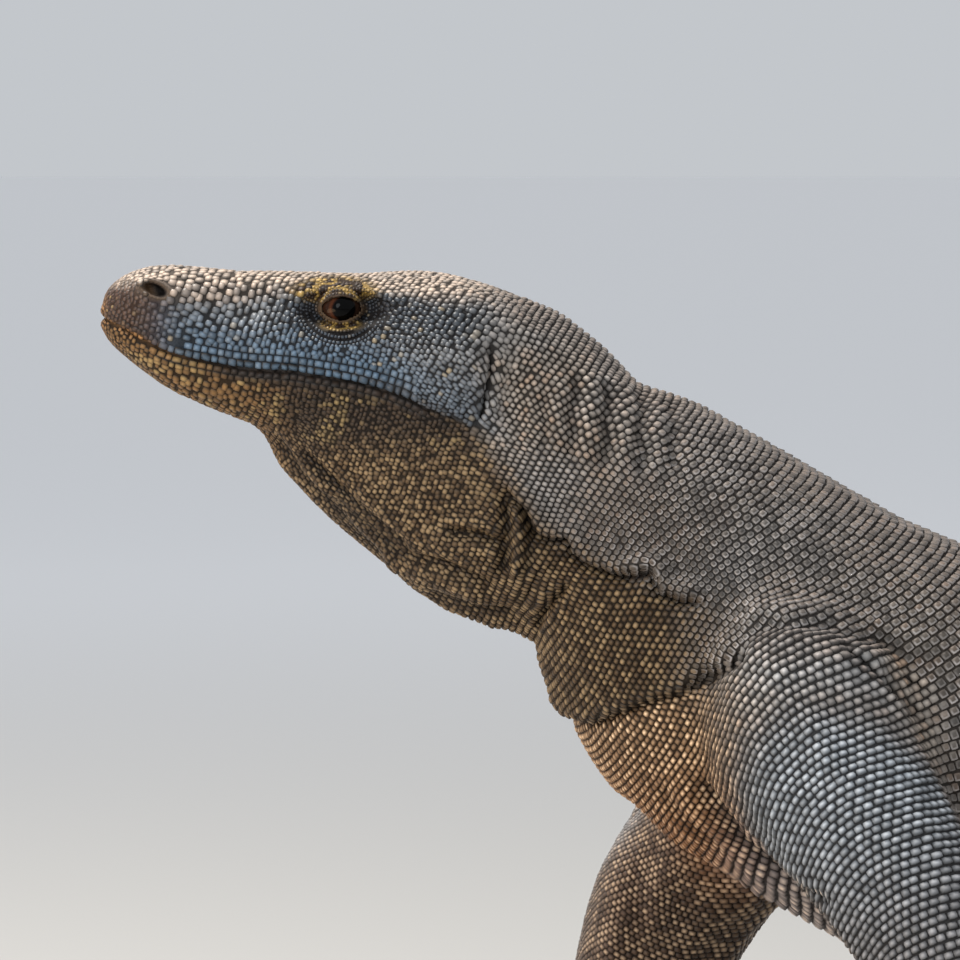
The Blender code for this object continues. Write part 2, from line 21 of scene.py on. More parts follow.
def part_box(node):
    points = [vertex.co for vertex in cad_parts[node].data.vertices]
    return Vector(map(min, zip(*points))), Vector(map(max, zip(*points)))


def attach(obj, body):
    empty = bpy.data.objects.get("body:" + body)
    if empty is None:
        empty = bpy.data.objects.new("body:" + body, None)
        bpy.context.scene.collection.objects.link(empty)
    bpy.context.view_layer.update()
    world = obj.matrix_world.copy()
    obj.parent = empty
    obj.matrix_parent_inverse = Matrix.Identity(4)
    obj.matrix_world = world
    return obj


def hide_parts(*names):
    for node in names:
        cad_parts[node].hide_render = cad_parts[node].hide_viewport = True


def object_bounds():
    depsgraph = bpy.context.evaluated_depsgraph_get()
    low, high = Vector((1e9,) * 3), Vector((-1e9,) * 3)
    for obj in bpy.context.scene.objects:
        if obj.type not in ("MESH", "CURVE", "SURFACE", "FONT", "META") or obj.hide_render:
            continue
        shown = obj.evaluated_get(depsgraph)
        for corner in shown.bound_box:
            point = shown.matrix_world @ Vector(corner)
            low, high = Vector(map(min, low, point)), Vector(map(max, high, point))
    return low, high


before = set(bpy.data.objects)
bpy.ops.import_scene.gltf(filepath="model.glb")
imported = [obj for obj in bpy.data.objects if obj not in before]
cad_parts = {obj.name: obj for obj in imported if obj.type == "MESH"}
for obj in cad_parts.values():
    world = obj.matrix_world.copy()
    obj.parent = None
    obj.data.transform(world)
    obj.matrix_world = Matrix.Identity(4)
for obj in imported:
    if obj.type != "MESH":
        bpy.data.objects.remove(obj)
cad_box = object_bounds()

# ---------------------------------------------------------------- places and sizes

ROOT = "root"
FLESH = [name for name in sorted(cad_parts) if not name.startswith(("eye_", "claw_"))]
CLAWS = [name for name in sorted(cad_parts) if name.startswith("claw_")]
SIDES = {"left": -1, "right": 1}

MILLIMETRE = 0.001
MERGING = 1e-5  # points of a solid nearer than this are made one
CLOSING = 0.6 * MILLIMETRE  # by which each solid swells, so that the thin cuts close
TAIL_CLOSING = 2.6 * MILLIMETRE  # of the tail's end, so that the cells hold its thin tip
TAIL_DRAWN = 60 * MILLIMETRE  # the length of the tail's end that is drawn out to the tip
FLOOR = cad_box[0][2] + 0.02 * MILLIMETRE
SKIN_CELL = 7.5 * MILLIMETRE
FIRST_SMOOTHING = 6  # rounds before the skin is laid on the solids
JOINT_SMOOTHING = 26  # and rounds after it, which round the joints between them
NEAR_SOLID = 4 * MILLIMETRE  # within which the skin is laid on a solid that faces its way
COAT_DEPTH = 1.3 * MILLIMETRE  # of the scales, by which the skin lies inside the solids

EYE_RADIUS = 10.5 * MILLIMETRE
EYE_DRAWN = Vector((-0.0685, 0.0, 0.4870))
EYE_X, _, EYE_Z = EYE_DRAWN
EYE_OPENING = (9.4 * MILLIMETRE, 6.0 * MILLIMETRE)  # half the width and half the height between the lids
LID = 0.9 * MILLIMETRE
LID_CREASES = (6.3, 9.1)  # how far outside the opening the creases under the eye are, in millimetres
LEAST_LID = 0.4 * MILLIMETRE  # at the bottom of its creases
BEHIND_EYE = 1.6 * MILLIMETRE  # by which the skin lies inside the ball in the opening
EYE_BULGE = 0.7 * MILLIMETRE
BEHIND_GAZE = 20.0  # millimetres, more than any point of the ball's front lies from its gaze
NAIL_SWELL = 0.7 * MILLIMETRE  # of a claw, before it is rounded
EYE_PLUG = EYE_RADIUS - 0.3 * MILLIMETRE  # balls that fill the sockets while the skin is made
CLAW_PLUG = 5.0 * MILLIMETRE
CLAW_PLUG_ALONG = 0.06  # share of the claw's length, from its root
CLAW_ROOT_POINTS = 6

NOSTRIL = (-0.1610, 0.4958)
NOSTRIL_RADII = (6.4 * MILLIMETRE, 3.1 * MILLIMETRE)
NOSTRIL_PITCH = math.radians(-22)
NOSTRIL_DEPTH = 6.5 * MILLIMETRE

MOUTH_LINE = (
    (-0.2020, 0.4850), (-0.1895, 0.4820), (-0.1780, 0.4765), (-0.1540, 0.4640),
    (-0.1350, 0.4600), (-0.1180, 0.4570), (-0.0915, 0.4555), (-0.0620, 0.4510),
    (-0.0385, 0.4445), (-0.0245, 0.4375), (-0.0070, 0.4310),
)
# The border between the throat and the side of the neck
NECK_LINE = (
    (-0.0070, 0.4310), (0.0120, 0.4060), (0.0355, 0.3760),
    (0.0865, 0.3520), (0.1070, 0.3460), (0.1500, 0.3300),
)


def box_middle(node):
    low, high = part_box(node)
    return (low + high) / 2


EYES = {side: box_middle("eye_" + side) for side in SIDES}
ORIGIN = (EYES["left"] + EYES["right"]) / 2 - EYE_DRAWN


# ---------------------------------------------------------------- small helpers


def drawn(places):
    """Places in the frame as places on the drawing of the animal."""
    return places - np.array(ORIGIN)


def side_view(places):
    """The (x, z) of each place."""
    return places[:, [0, 2]]


def ease(values, low, high):
    """0 below low and 1 above high, or the other way round, with a smooth way between."""
    share = np.clip((values - low) / (high - low), 0, 1)
    return share * share * (3 - 2 * share)


def bump(values, middle, width):
    """1 at the middle, falling off smoothly either side of it."""
    return np.exp(-(((values - middle) / width) ** 2))


def unit(vectors):
    return vectors / np.maximum(np.linalg.norm(vectors, axis=-1, keepdims=True), 1e-12)


def along_line(points, line):
    """Of each (x, z) point: its distance from a line, which side it is on and how far along, 0 to 1."""
    line = np.array(line, float)
    runs = np.diff(line, axis=0)
    lengths = np.linalg.norm(runs, axis=1)
    starts = np.concatenate([[0], np.cumsum(lengths)])
    best = np.full(len(points), np.inf)
    side = np.zeros(len(points))
    share = np.zeros(len(points))
    for start, run, length, before in zip(line, runs, lengths, starts):
        away = points - start
        t = np.clip(away @ run / length**2, 0, 1)
        gap = away - t[:, None] * run
        distance = np.linalg.norm(gap, axis=1)
        nearer = distance < best
        best = np.where(nearer, distance, best)
        turn = (run[0] * away[:, 1] - run[1] * away[:, 0]) / length
        side = np.where(nearer, np.sign(turn), side)
        share = np.where(nearer, (before + t * length) / starts[-1], share)
    return best, side, share


def from_line(points, line):
    """How far each point is from the line."""
    return along_line(points, line)[0]


def above_line(points, line):
    """How far each point is above the line, with a minus below it."""
    distance, side, _ = along_line(points, line)
    return np.where(side > 0, distance, -distance)


def like(numbers, values):
    """A number for each point, shaped to multiply its values, which may be vectors."""
    return numbers.reshape(-1, *[1] * (values.ndim - 1))


def in_scene(name, data):
    made = bpy.data.objects.new(name, data)
    bpy.context.scene.collection.objects.link(made)
    return made


# ---------------------------------------------------------------- the web of the skin


class Web:
    """The skin's points and the edges between them, for smoothing, folding and solving over it."""

    def __init__(self, places, triangles):
        self.places = places
        self.triangles = triangles
        self.count = len(places)
        sides = np.concatenate([triangles[:, [0, 1]], triangles[:, [1, 2]], triangles[:, [2, 0]]])
        self.edges = np.unique(np.sort(sides, axis=1), axis=0)
        self.degree = np.bincount(self.edges.ravel(), minlength=self.count)

    def around(self, values):
        """The sum over each point's neighbours."""
        near, far = self.edges.T
        columns = values.reshape(self.count, -1)
        sums = np.empty(columns.shape)
        for i, column in enumerate(columns.T):
            sums[:, i] = np.bincount(near, column[far], self.count)
            sums[:, i] += np.bincount(far, column[near], self.count)
        return sums.reshape(values.shape)

    def pull(self, values):
        """How far each point's neighbours draw its value, summed."""
        return self.around(values) - like(self.degree, values) * values

    def smoothed(self, values, rounds, share=0.5):
        degree = like(self.degree, values)
        for _ in range(rounds):
            values = values + share * self.pull(values) / degree
        return values

    def relax(self, rounds):
        """Rounds the places without shrinking them: each smoothing is followed by some of its reverse."""
        for _ in range(rounds):
            self.places = self.smoothed(self.places, 1, 0.50)
            self.places = self.smoothed(self.places, 1, -0.52)

    def face_normals(self):
        a, b, c = (self.places[corner] for corner in self.triangles.T)
        return np.cross(b - a, c - a)

    def gather(self, values):
        """Values of the triangles, summed at their corners."""
        sums = np.zeros((self.count, values.shape[1]))
        for corner in self.triangles.T:
            for i, column in enumerate(values.T):
                sums[:, i] += np.bincount(corner, column, self.count)
        return sums

    def normals(self):
        return unit(self.gather(self.face_normals()))

    def slopes(self, field):
        """The gradient of a field over each triangle."""
        a, b, c = (self.places[corner] for corner in self.triangles.T)
        normal = np.cross(b - a, c - a)
        double_area = np.maximum(np.linalg.norm(normal, axis=1, keepdims=True), 1e-14)
        normal = normal / double_area
        values = field[self.triangles]
        slope = values[:, :1] * np.cross(normal, c - b)
        slope += values[:, 1:2] * np.cross(normal, a - c)
        slope += values[:, 2:] * np.cross(normal, b - a)
        return slope / double_area

    def slopes_at_points(self, field):
        weight = np.linalg.norm(self.face_normals(), axis=1, keepdims=True)
        total = self.gather(np.hstack([self.slopes(field) * weight, weight]))
        return total[:, :3] / total[:, 3:]

    def distances(self, start, costs):
        """The least cost from a point to every other over the edges."""
        neighbours = [[] for _ in range(self.count)]
        for (a, b), cost in zip(self.edges.tolist(), costs.tolist()):
            neighbours[a].append((b, cost))
            neighbours[b].append((a, cost))
        best = [math.inf] * self.count
        best[start] = 0.0
        queue = [(0.0, start)]
        while queue:
            reached, point = heapq.heappop(queue)
            if reached > best[point]:
                continue
            for other, cost in neighbours[point]:
                through = reached + cost
                if through < best[other]:
                    best[other] = through
                    heapq.heappush(queue, (through, other))
        return np.array(best)

    def settle(self, field, drive, free, rounds):
        """Solves pull(field) = drive at the free points, by conjugate gradients from the given field."""
        field = field.copy()
        rest = np.where(free, self.pull(field) - drive, 0)
        step = rest.copy()
        size = rest @ rest
        for _ in range(rounds):
            pulled = np.where(free, -self.pull(step), 0)
            reach = size / (step @ pulled)
            field += reach * step
            rest -= reach * pulled
            new_size = rest @ rest
            step = rest + (new_size / size) * step
            size = new_size
        return field


# ---------------------------------------------------------------- the skin's own shape


def merged_copy(name, swell):
    """A solid's faces with their points merged, swollen a little."""
    bm = bmesh.new()
    bm.from_mesh(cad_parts[name].data)
    bmesh.ops.remove_doubles(bm, verts=bm.verts, dist=MERGING)
    bm.normal_update()
    for vert in bm.verts:
        vert.co += vert.normal * swell
    return bm


def claw_ends(name):
    """The middle of the claw's root, and its tip."""
    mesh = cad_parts[name].data
    points = np.unique(np.round([v.co[:] for v in mesh.vertices], 6), axis=0)
    tip = points[np.argmin(points[:, 2])]
    root = np.argsort(np.linalg.norm(points - tip, axis=1))[-CLAW_ROOT_POINTS:]
    return Vector(points[root].mean(axis=0)), Vector(tip)


def whole_flesh():
    """All the flesh as one mesh of overlapping solids, with plugs in the sockets of the eyes and claws."""
    whole = bmesh.new()
    for name in FLESH:
        part = merged_copy(name, TAIL_CLOSING if name == "tail_end" else CLOSING)
        mesh = bpy.data.meshes.new(name)
        part.to_mesh(mesh)
        part.free()
        whole.from_mesh(mesh)
        bpy.data.meshes.remove(mesh)
    plugs = [(EYES[side], EYE_PLUG, 3) for side in SIDES]
    for name in CLAWS:
        root, tip = claw_ends(name)
        plugs.append((root.lerp(tip, CLAW_PLUG_ALONG), CLAW_PLUG, 2))
    for spot, radius, fineness in plugs:
        place = Matrix.Translation(spot)
        bmesh.ops.create_icosphere(whole, subdivisions=fineness, radius=radius, matrix=place)
    return whole


def as_object(name, bm):
    mesh = bpy.data.meshes.new(name)
    bm.to_mesh(mesh)
    bm.free()
    return in_scene(name, mesh)


def remeshed(made, cell):
    """The object's shape as a skin of even cells."""
    modifier = made.modifiers.new("cells", "REMESH")
    modifier.mode = "VOXEL"
    modifier.voxel_size = cell
    graph = bpy.context.evaluated_depsgraph_get()
    bm = bmesh.new()
    bm.from_object(made, graph)
    bpy.data.objects.remove(made)
    return bm


def drop_islands(bm):
    """Keeps only what is joined to the snout: cells can also close round a pocket inside."""
    snout = min(bm.verts, key=lambda vert: vert.co.x)
    joined, rim = {snout}, {snout}
    while rim:
        rim = {side.other_vert(vert) for vert in rim for side in vert.link_edges} - joined
        joined |= rim
    bmesh.ops.delete(bm, geom=[vert for vert in bm.verts if vert not in joined], context="VERTS")


def fine_zones(places):
    """Which points want cells half as wide, a quarter and an eighth."""
    x, y, z = places.T
    flat = side_view(places)
    half = (x < 0.30) & ((z > 0.19) | (y < -0.10) | ((z > 0.05) & (y > 0.09)))
    half |= z < 0.030
    from_eye = np.linalg.norm(flat - np.array([EYE_X, EYE_Z]), axis=1)
    from_nostril = np.linalg.norm(flat - np.array(NOSTRIL), axis=1)
    face = (from_eye < 0.021) | (from_nostril < 0.012) | (from_line(flat, MOUTH_LINE) < 0.0045)
    folded = np.zeros(len(places), bool)
    for kind, way, _, depth in FOLDS:
        if kind in ("lap", "pleat", "crease") and depth > 2.3:
            folded |= from_line(flat, way) < (0.0065 if kind == "lap" else 0.0040)
    quarter = (face & (x < 0.02)) | (folded & (x < 0.30) & (np.abs(y) > 0.03))
    eighth = ((from_eye < 0.0125) | (from_nostril < 0.0085)) & (x < 0.02) & (np.abs(y) > 0.012)
    return half, quarter, eighth


def split_cells(bm):
    """Halves the cells where the hide's detail is finer."""
    for level in range(3):
        places = drawn(np.array([v.co[:] for v in bm.verts]))
        wanted = fine_zones(places)[level]
        bm.verts.ensure_lookup_table()
        edges = [e for e in bm.edges if wanted[e.verts[0].index] and wanted[e.verts[1].index]]
        bmesh.ops.subdivide_edges(bm, edges=edges, cuts=1, use_grid_fill=True)
        bm.verts.index_update()
    bmesh.ops.triangulate(bm, faces=bm.faces)


def arrays_of(bm):
    bm.verts.index_update()
    places = np.array([v.co[:] for v in bm.verts])
    triangles = np.array([[v.index for v in face.verts] for face in bm.faces])
    return places, triangles


def solids_tree():
    """All the solids' faces, for finding the nearest, and the node of each."""
    points, faces, owners = [], [], []
    for name in FLESH:
        bm = merged_copy(name, 0.0)
        first = len(points)
        points += [v.co.copy() for v in bm.verts]
        for face in bm.faces:
            faces.append([first + v.index for v in face.verts])
            owners.append(name)
        bm.free()
    return BVHTree.FromPolygons(points, faces), owners


def laid_on_solids(web):
    """Puts the skin on the solids' surface, and says which node lies under each of its points."""
    tree, owners = solids_tree()
    normals = web.normals()
    places = web.places.copy()
    under = np.empty(web.count, int)
    for i, (place, normal) in enumerate(zip(web.places.tolist(), normals.tolist())):
        spot, facing, face, away = tree.find_nearest(place)
        under[i] = FLESH.index(owners[face])
        if away < NEAR_SOLID and facing.dot(normal) > 0.3:
            places[i] = spot
    web.places = places
    return under


# ---------------------------------------------------------------- folds, lids, lips


def sided(places, normals, side):
    """How squarely each point faces out to that side of the animal, from 0 to 1."""
    y = places[:, 1]
    return ease(normals[:, 1] * side, 0.05, 0.35) * (y * side > 0)


# The slit behind the jaw, and the wavy ridge along the side of the neck
EAR = ((0.0050, 0.4700), (0.0055, 0.4560), (0.0030, 0.4430), (-0.0010, 0.4315))
NECK_RIDGE = (
    (0.0110, 0.4060), (0.0155, 0.3985), (0.0235, 0.3885), (0.0280, 0.3785),
    (0.0340, 0.3755), (0.0435, 0.3755), (0.0465, 0.3680), (0.0525, 0.3635),
    (0.0615, 0.3605), (0.0695, 0.3585), (0.0775, 0.3590), (0.0835, 0.3615),
    (0.0865, 0.3555), (0.0895, 0.3500), (0.0980, 0.3468), (0.1150, 0.3470),
)
# The edge of the fold across the chest, and the crease that carries its end on over the shoulder
CHEST_FOLD = (
    (0.0400, 0.2865), (0.0555, 0.2835), (0.0770, 0.2945), (0.0995, 0.3025),
    (0.1105, 0.3105), (0.1225, 0.3205), (0.1300, 0.3290),
)
SHOULDER_FOLD = CHEST_FOLD[4:] + (
    (0.1370, 0.3345), (0.1505, 0.3360), (0.1705, 0.3350), (0.1840, 0.3285),
    (0.1975, 0.3265), (0.2080, 0.3185), (0.2175, 0.3090),
)
FULL_DEPTH = 3.5  # of a fold whose bottom takes the full painted shade, in millimetres
# Folds of the hide: kind, way, half the width and the depth in millimetres
FOLDS = (
    ("crease", EAR, 1.5, 4.5),
    ("swell", ((-0.005, 0.474), (-0.0055, 0.458), (-0.009, 0.442)), 6.0, 1.6),
    ("lap", NECK_RIDGE, 4.2, 6.4),
    ("step", NECK_RIDGE, 30.0, 4.6),
    ("pleat", ((0.0175, 0.395), (0.0195, 0.383), (0.02, 0.37), (0.0185, 0.356)), 2.4, 4.6),
    ("crease", ((0.0115, 0.398), (0.0125, 0.383), (0.012, 0.37), (0.011, 0.356)), 2.0, 4.2),
    ("lap", CHEST_FOLD, 4.8, 3.3),
    ("step", CHEST_FOLD, 32.0, 3.2),
    ("crease", SHOULDER_FOLD, 3.0, 2.4),
    ("swell", tuple((x + 0.002, z + 0.009) for x, z in SHOULDER_FOLD), 9.0, 1.6),
    ("crease", ((0.174, 0.329), (0.193, 0.313), (0.206, 0.299), (0.214, 0.287)), 2.0, 3.0),
    # creases of the throat
    ("crease", ((-0.092, 0.4185), (-0.0715, 0.3985), (-0.0495, 0.3795), (-0.032, 0.365)), 3.0, 5.2),
    ("crease", ((-0.079, 0.397), (-0.041, 0.365), (-0.0175, 0.362), (0.011, 0.3495)), 2.8, 5.0),
    ("crease", ((-0.0175, 0.378), (0.0, 0.3765), (0.013, 0.3715)), 2.6, 4.4),
    ("crease", ((-0.106, 0.426), (-0.086, 0.4), (-0.064, 0.376), (-0.043, 0.356)), 3.0, 4.4),
    ("crease", ((-0.026, 0.348), (-0.002, 0.34), (0.02, 0.339)), 2.6, 3.2),
    ("crease", ((0.029, 0.3285), (0.0335, 0.3395), (0.045, 0.353)), 2.1, 3.8),
    ("crease", ((0.02, 0.342), (0.028, 0.356), (0.042, 0.364)), 2.0, 2.0),
    ("swell", ((-0.062, 0.402), (-0.035, 0.38), (-0.01, 0.37)), 6.5, 1.8),
    ("swell", ((0.002, 0.33), (0.016, 0.326), (0.028, 0.321)), 7.0, 2.0),
    # the grooves between breast and arm
    ("crease", (
        (0.105, 0.262), (0.1215, 0.2385), (0.1293, 0.226), (0.142, 0.2155), (0.172, 0.204),
    ), 3.8, 4.6),
    ("crease", ((0.08, 0.24), (0.0975, 0.218), (0.1115, 0.208), (0.14, 0.196)), 2.8, 2.6),
    ("crease", ((0.09, 0.256), (0.108, 0.233), (0.125, 0.217)), 2.4, 1.8),
    # fine creases above the armpit
    ("crease", ((0.204, 0.316), (0.211, 0.301), (0.2175, 0.2865)), 1.8, 2.2),
    ("crease", ((0.211, 0.31), (0.219, 0.295), (0.226, 0.275)), 1.8, 2.0),
    ("crease", ((0.196, 0.317), (0.204, 0.3), (0.211, 0.285)), 1.8, 1.8),
    # upright creases of the nape
    ("crease", ((0.0325, 0.45), (0.0305, 0.439), (0.0325, 0.428), (0.029, 0.416)), 2.8, 2.4),
    ("crease", (
        (0.0455, 0.456), (0.0475, 0.446), (0.044, 0.436), (0.046, 0.426), (0.0425, 0.413),
    ), 3.2, 3.0),
    ("crease", ((0.061, 0.452), (0.064, 0.442), (0.061, 0.432), (0.063, 0.422), (0.0585, 0.408)), 3.4, 3.2),
    ("crease", (
        (0.0775, 0.448), (0.081, 0.437), (0.0785, 0.427), (0.0805, 0.417), (0.0765, 0.405),
    ), 3.4, 3.0),
    ("crease", ((0.0935, 0.44), (0.0965, 0.429), (0.094, 0.419), (0.096, 0.408)), 3.2, 2.4),
    ("swell", ((0.054, 0.456), (0.056, 0.44), (0.052, 0.42)), 4.6, 1.0),
    ("swell", ((0.07, 0.45), (0.072, 0.434), (0.069, 0.414)), 4.8, 1.1),
)


def fold_rise(kind, distance, side):
    """How far the hide rises at a distance from a fold, both as shares of the fold's own size."""
    if kind == "crease":
        return 0.30 * bump(distance, 2.2, 1.0) - bump(distance, 0, 1.0)
    if kind == "swell":
        return bump(distance, 0, 1.0)
    if kind == "pleat":
        return bump(distance, 0, 1.0) - 0.35 * bump(distance, 1.9, 0.8)
    if kind == "step":  # the hide below lies deeper, and comes up again far from the fold
        return np.where(side > 0, 0.0, -np.exp(-((2.0 * distance) ** 2)))
    # a lap: the hide above bulges over and drops sharply to a groove below
    above = 0.75 * bump(distance, 0.75, 1.1)
    return np.where(side > 0, above, 0.75 * bump(0.75, 0, 1.1) - 1.1 * bump(distance, 0.55, 0.5))


def fold_bottom(kind, distance, side):
    """How near a point lies to the bottom of a fold, from 0 to 1."""
    if kind in ("swell", "step"):
        return np.zeros(len(distance))
    if kind == "pleat":
        return bump(distance, 1.9, 0.8)
    if kind == "lap":
        return np.where(side > 0, bump(distance, 0, 0.4), bump(distance, 0.45, 0.6))
    return bump(distance, 0, 0.9)


def fold_hide(web):
    """Creases and folds, the same on both sides but for a little difference, and whole across the chest.

    Returns how deep in a fold each point lies, from 0 to 1, which lowers the scales there and paints shade
    in the folds' bottoms.
    """
    places = drawn(web.places)
    normals = web.normals()
    squarely = {side: sided(places, normals, side) for side in (-1, 1)}
    x, _, z = places.T
    across_chest = ease(x, 0.085, 0.070) * ease(z, 0.325, 0.310)
    squarely[-1] = np.maximum(squarely[-1], across_chest * (1 - squarely[1]))
    rise = np.zeros(web.count)
    deep = np.zeros(web.count)
    for side in (-1, 1):
        flat = side_view(places)
        if side > 0:  # the right side's folds wander a little
            flat = flat + 0.0022 * np.sin(flat[:, ::-1] * 95.0)
        for kind, way, width, depth in FOLDS:
            distance, hand, share = along_line(flat, way)
            distance = distance / (width * MILLIMETRE)
            fade = ease(share, 1.0, 0.88)
            if way is not CHEST_FOLD:  # that one starts in the middle of the chest, at its full depth
                fade = fade * ease(share, 0.0, 0.12)
            amount = squarely[side] * fade
            rise += amount * depth * MILLIMETRE * fold_rise(kind, distance, hand)
            bottom = fold_bottom(kind, distance, hand) * min(depth / FULL_DEPTH, 1.0)
            deep = np.maximum(deep, amount * bottom)
    web.places = web.places + normals * rise[:, None]
    return deep


def lid_level(across, rise):
    """1 on the edge of the opening between the lids, and more outside it."""
    a, b = EYE_OPENING
    return np.sqrt(np.abs(across / a) ** 1.35 + np.abs(rise / b) ** 2.3)


def ball_side(radius, across):
    """How far out a ball's surface lies, that far from the line of sight through its middle."""
    return np.sqrt(np.maximum(radius**2 - across**2, 0.0))


def open_eyes(web):
    """Lids that lie on the eyeballs, with an opening between them and creases round them."""
    for side, hand in SIDES.items():
        away = web.places - np.array(EYES[side])
        x, y, z = away.T
        near = (np.abs(x) < 0.026) & (np.abs(z) < 0.020) & (y * hand > -0.004)
        level = lid_level(x, z)
        across = np.hypot(x, z)
        free = ease(level, 1.15, 2.1)
        lid = ball_side(EYE_RADIUS + LID, across) * (1 - free) + y * hand * free
        rim = 0.55 * bump(level, 1.12, 0.13) - 0.75 * bump(level, 1.62, 0.15)
        beside = lid_distance(x, z)
        under = ease(z, 0.003, -0.002) * ease(x, 0.016, 0.009) * ease(x, -0.019, -0.012)
        first, second = LID_CREASES
        rim = rim - under * (1.5 * bump(beside, first, 0.8) + 1.2 * bump(beside, second, 0.8))
        rim = rim + under * (0.5 * bump(beside, 4.6, 0.8) + 0.5 * bump(beside, 7.7, 0.7))
        lid = lid + rim * MILLIMETRE
        over_ball = np.maximum(lid, ball_side(EYE_RADIUS + LEAST_LID, across))
        lid = np.where(across < EYE_RADIUS, over_ball, lid)
        out = np.where(level < 1.0, ball_side(EYE_RADIUS - BEHIND_EYE, across), lid)
        web.places[:, 1] = np.where(near, EYES[side][1] + hand * out, web.places[:, 1])


def lid_distance(across, rise):
    """About how far a point lies outside the opening of the eye, in millimetres."""
    half_wide, half_high = EYE_OPENING
    share = np.hypot(across / half_wide, rise / half_high)
    return (np.hypot(across, rise) * (1 - 1 / np.maximum(share, 1e-6))) / MILLIMETRE


def nostril_level(flat):
    """1 on the edge of the nostril, and more outside it."""
    cos, sin = math.cos(NOSTRIL_PITCH), math.sin(NOSTRIL_PITCH)
    across, rise = np.array([[cos, sin], [-sin, cos]]) @ (flat - np.array(NOSTRIL)).T
    return np.hypot(across / NOSTRIL_RADII[0], rise / NOSTRIL_RADII[1])


def shape_face(web):
    """Nostrils, and lips either side of the line of the mouth."""
    places = drawn(web.places)
    normals = web.normals()
    flat = side_view(places)
    level = nostril_level(flat)
    outer = np.maximum(sided(places, normals, -1), sided(places, normals, 1)) * (places[:, 0] < -0.13)
    rise = outer * 0.8 * bump(level, 1.35, 0.22) * MILLIMETRE
    web.places[:, 1] -= outer * np.sign(places[:, 1]) * NOSTRIL_DEPTH * ease(level, 1.08, 0.55)
    distance, side, share = along_line(flat, MOUTH_LINE)
    fade = ease(share, 1.0, 0.94) * (places[:, 0] < 0.01)
    gap = distance / MILLIMETRE
    lips = np.where(side > 0, 0.85 * bump(gap, 3.2, 1.9), 0.75 * bump(gap, 3.4, 2.2))
    lips -= 1.9 * bump(gap, 0, 1.1)
    rise += fade * lips * MILLIMETRE
    web.places = web.places + normals * rise[:, None]


def draw_out_tail(web):
    """The cells fall short of the thin tip of the tail, so the last of it is drawn out to there."""
    solid = np.array([vert.co[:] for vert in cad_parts["tail_end"].data.vertices])
    tip = solid[np.argmax(solid[:, 0])]
    end = web.places[np.argmax(web.places[:, 0])]
    share = ease(web.places[:, 0], end[0] - TAIL_DRAWN, end[0])
    web.places = web.places + share[:, None] * (tip - end)


def make_skin_web():
    """The skin, which node lies under each of its points, and how deep in a fold the point is."""
    cells = remeshed(as_object("whole_flesh", whole_flesh()), SKIN_CELL)
    drop_islands(cells)
    split_cells(cells)
    web = Web(*arrays_of(cells))
    cells.free()
    web.relax(FIRST_SMOOTHING)
    under = laid_on_solids(web)
    web.relax(JOINT_SMOOTHING)
    web.places = web.places - web.normals() * COAT_DEPTH
    draw_out_tail(web)
    deep = fold_hide(web)
    shape_face(web)
    open_eyes(web)
    web.places[:, 2] = np.maximum(web.places[:, 2], FLOOR)
    return web, under, deep


# ---------------------------------------------------------------- the lie of the coat

# Along and across a scale, in millimetres, on each part
SCALE_SIZES = {
    "head": (3.1, 3.0),
    "lower_jaw": (3.1, 3.1),
    "neck": (4.4, 4.2),
    "trunk": (6.2, 5.4),
    "tail_base": (7.0, 6.0),
    "tail_middle": (7.0, 5.4),
    "tail_end": (6.4, 4.6),
    "upper_arm": (4.3, 5.8),
    "forearm": (4.3, 5.4),
    "hand": (3.8, 3.8),
    "thigh": (6.0, 5.8),
    "shank": (5.2, 5.2),
    "foot": (4.2, 4.0),
}


def part_of(node):
    for ending in ("_left", "_right"):
        node = node.removesuffix(ending)
    return node


PART_OF_FLESH = np.array([part_of(node) for node in FLESH])


def scale_sizes(places, under):
    """How long and how wide a scale is at each point, before they are evened out."""
    table = np.array([SCALE_SIZES[part] for part in PART_OF_FLESH]) * MILLIMETRE
    sizes = table[under]
    parts = PART_OF_FLESH[under]
    x, _, z = places.T
    border = np.interp(x, *np.array(NECK_LINE).T)
    by_head = np.isin(parts, ("neck", "head", "lower_jaw")) & (x > -0.05)
    temple = ease(x, 0.002, -0.010) * ease(x, -0.062, -0.050) * ease(z, 0.430, 0.445) * ease(z, 0.502, 0.490)
    zones = (  # how far each point lies in it, and its scales' length and width in millimetres
        ((parts == "trunk") * ease(x, 0.62, 0.20), 5.0, 4.4),
        (ease(z, border + 0.004, border - 0.010) * ease(x, 0.14, 0.10) * (x > -0.01), 3.1, 2.9),
        (by_head * ease(x, 0.075, 0.005), 3.2, 3.0),
        (ease(x, -0.005, -0.040) * ease(x, -0.155, -0.100), 2.9, 2.7),
        (ease(x, -0.100, -0.125) * ease(x, -0.170, -0.155), 4.3, 4.1),
        (temple, 3.1, 2.2),
        (ease(x, -0.155, -0.170), 2.3, 2.1),
    )
    for share, long, wide in zones:
        share = share[:, None]
        sizes = sizes * (1 - share) + np.array([long, wide]) * MILLIMETRE * share
    falling = 0.9 * np.maximum(x, -0.05)
    throat = ease(z, 0.420 - falling, 0.390 - falling) * ease(x, 0.06, 0.02)
    sizes[:, 1] *= 1 - 0.22 * throat
    return sizes


TAIL_DRAW = 2.2  # how much more the tip of the tail draws the lie than a foot does
FLOW_ROUNDS = 700
ROW_ROUNDS = 900


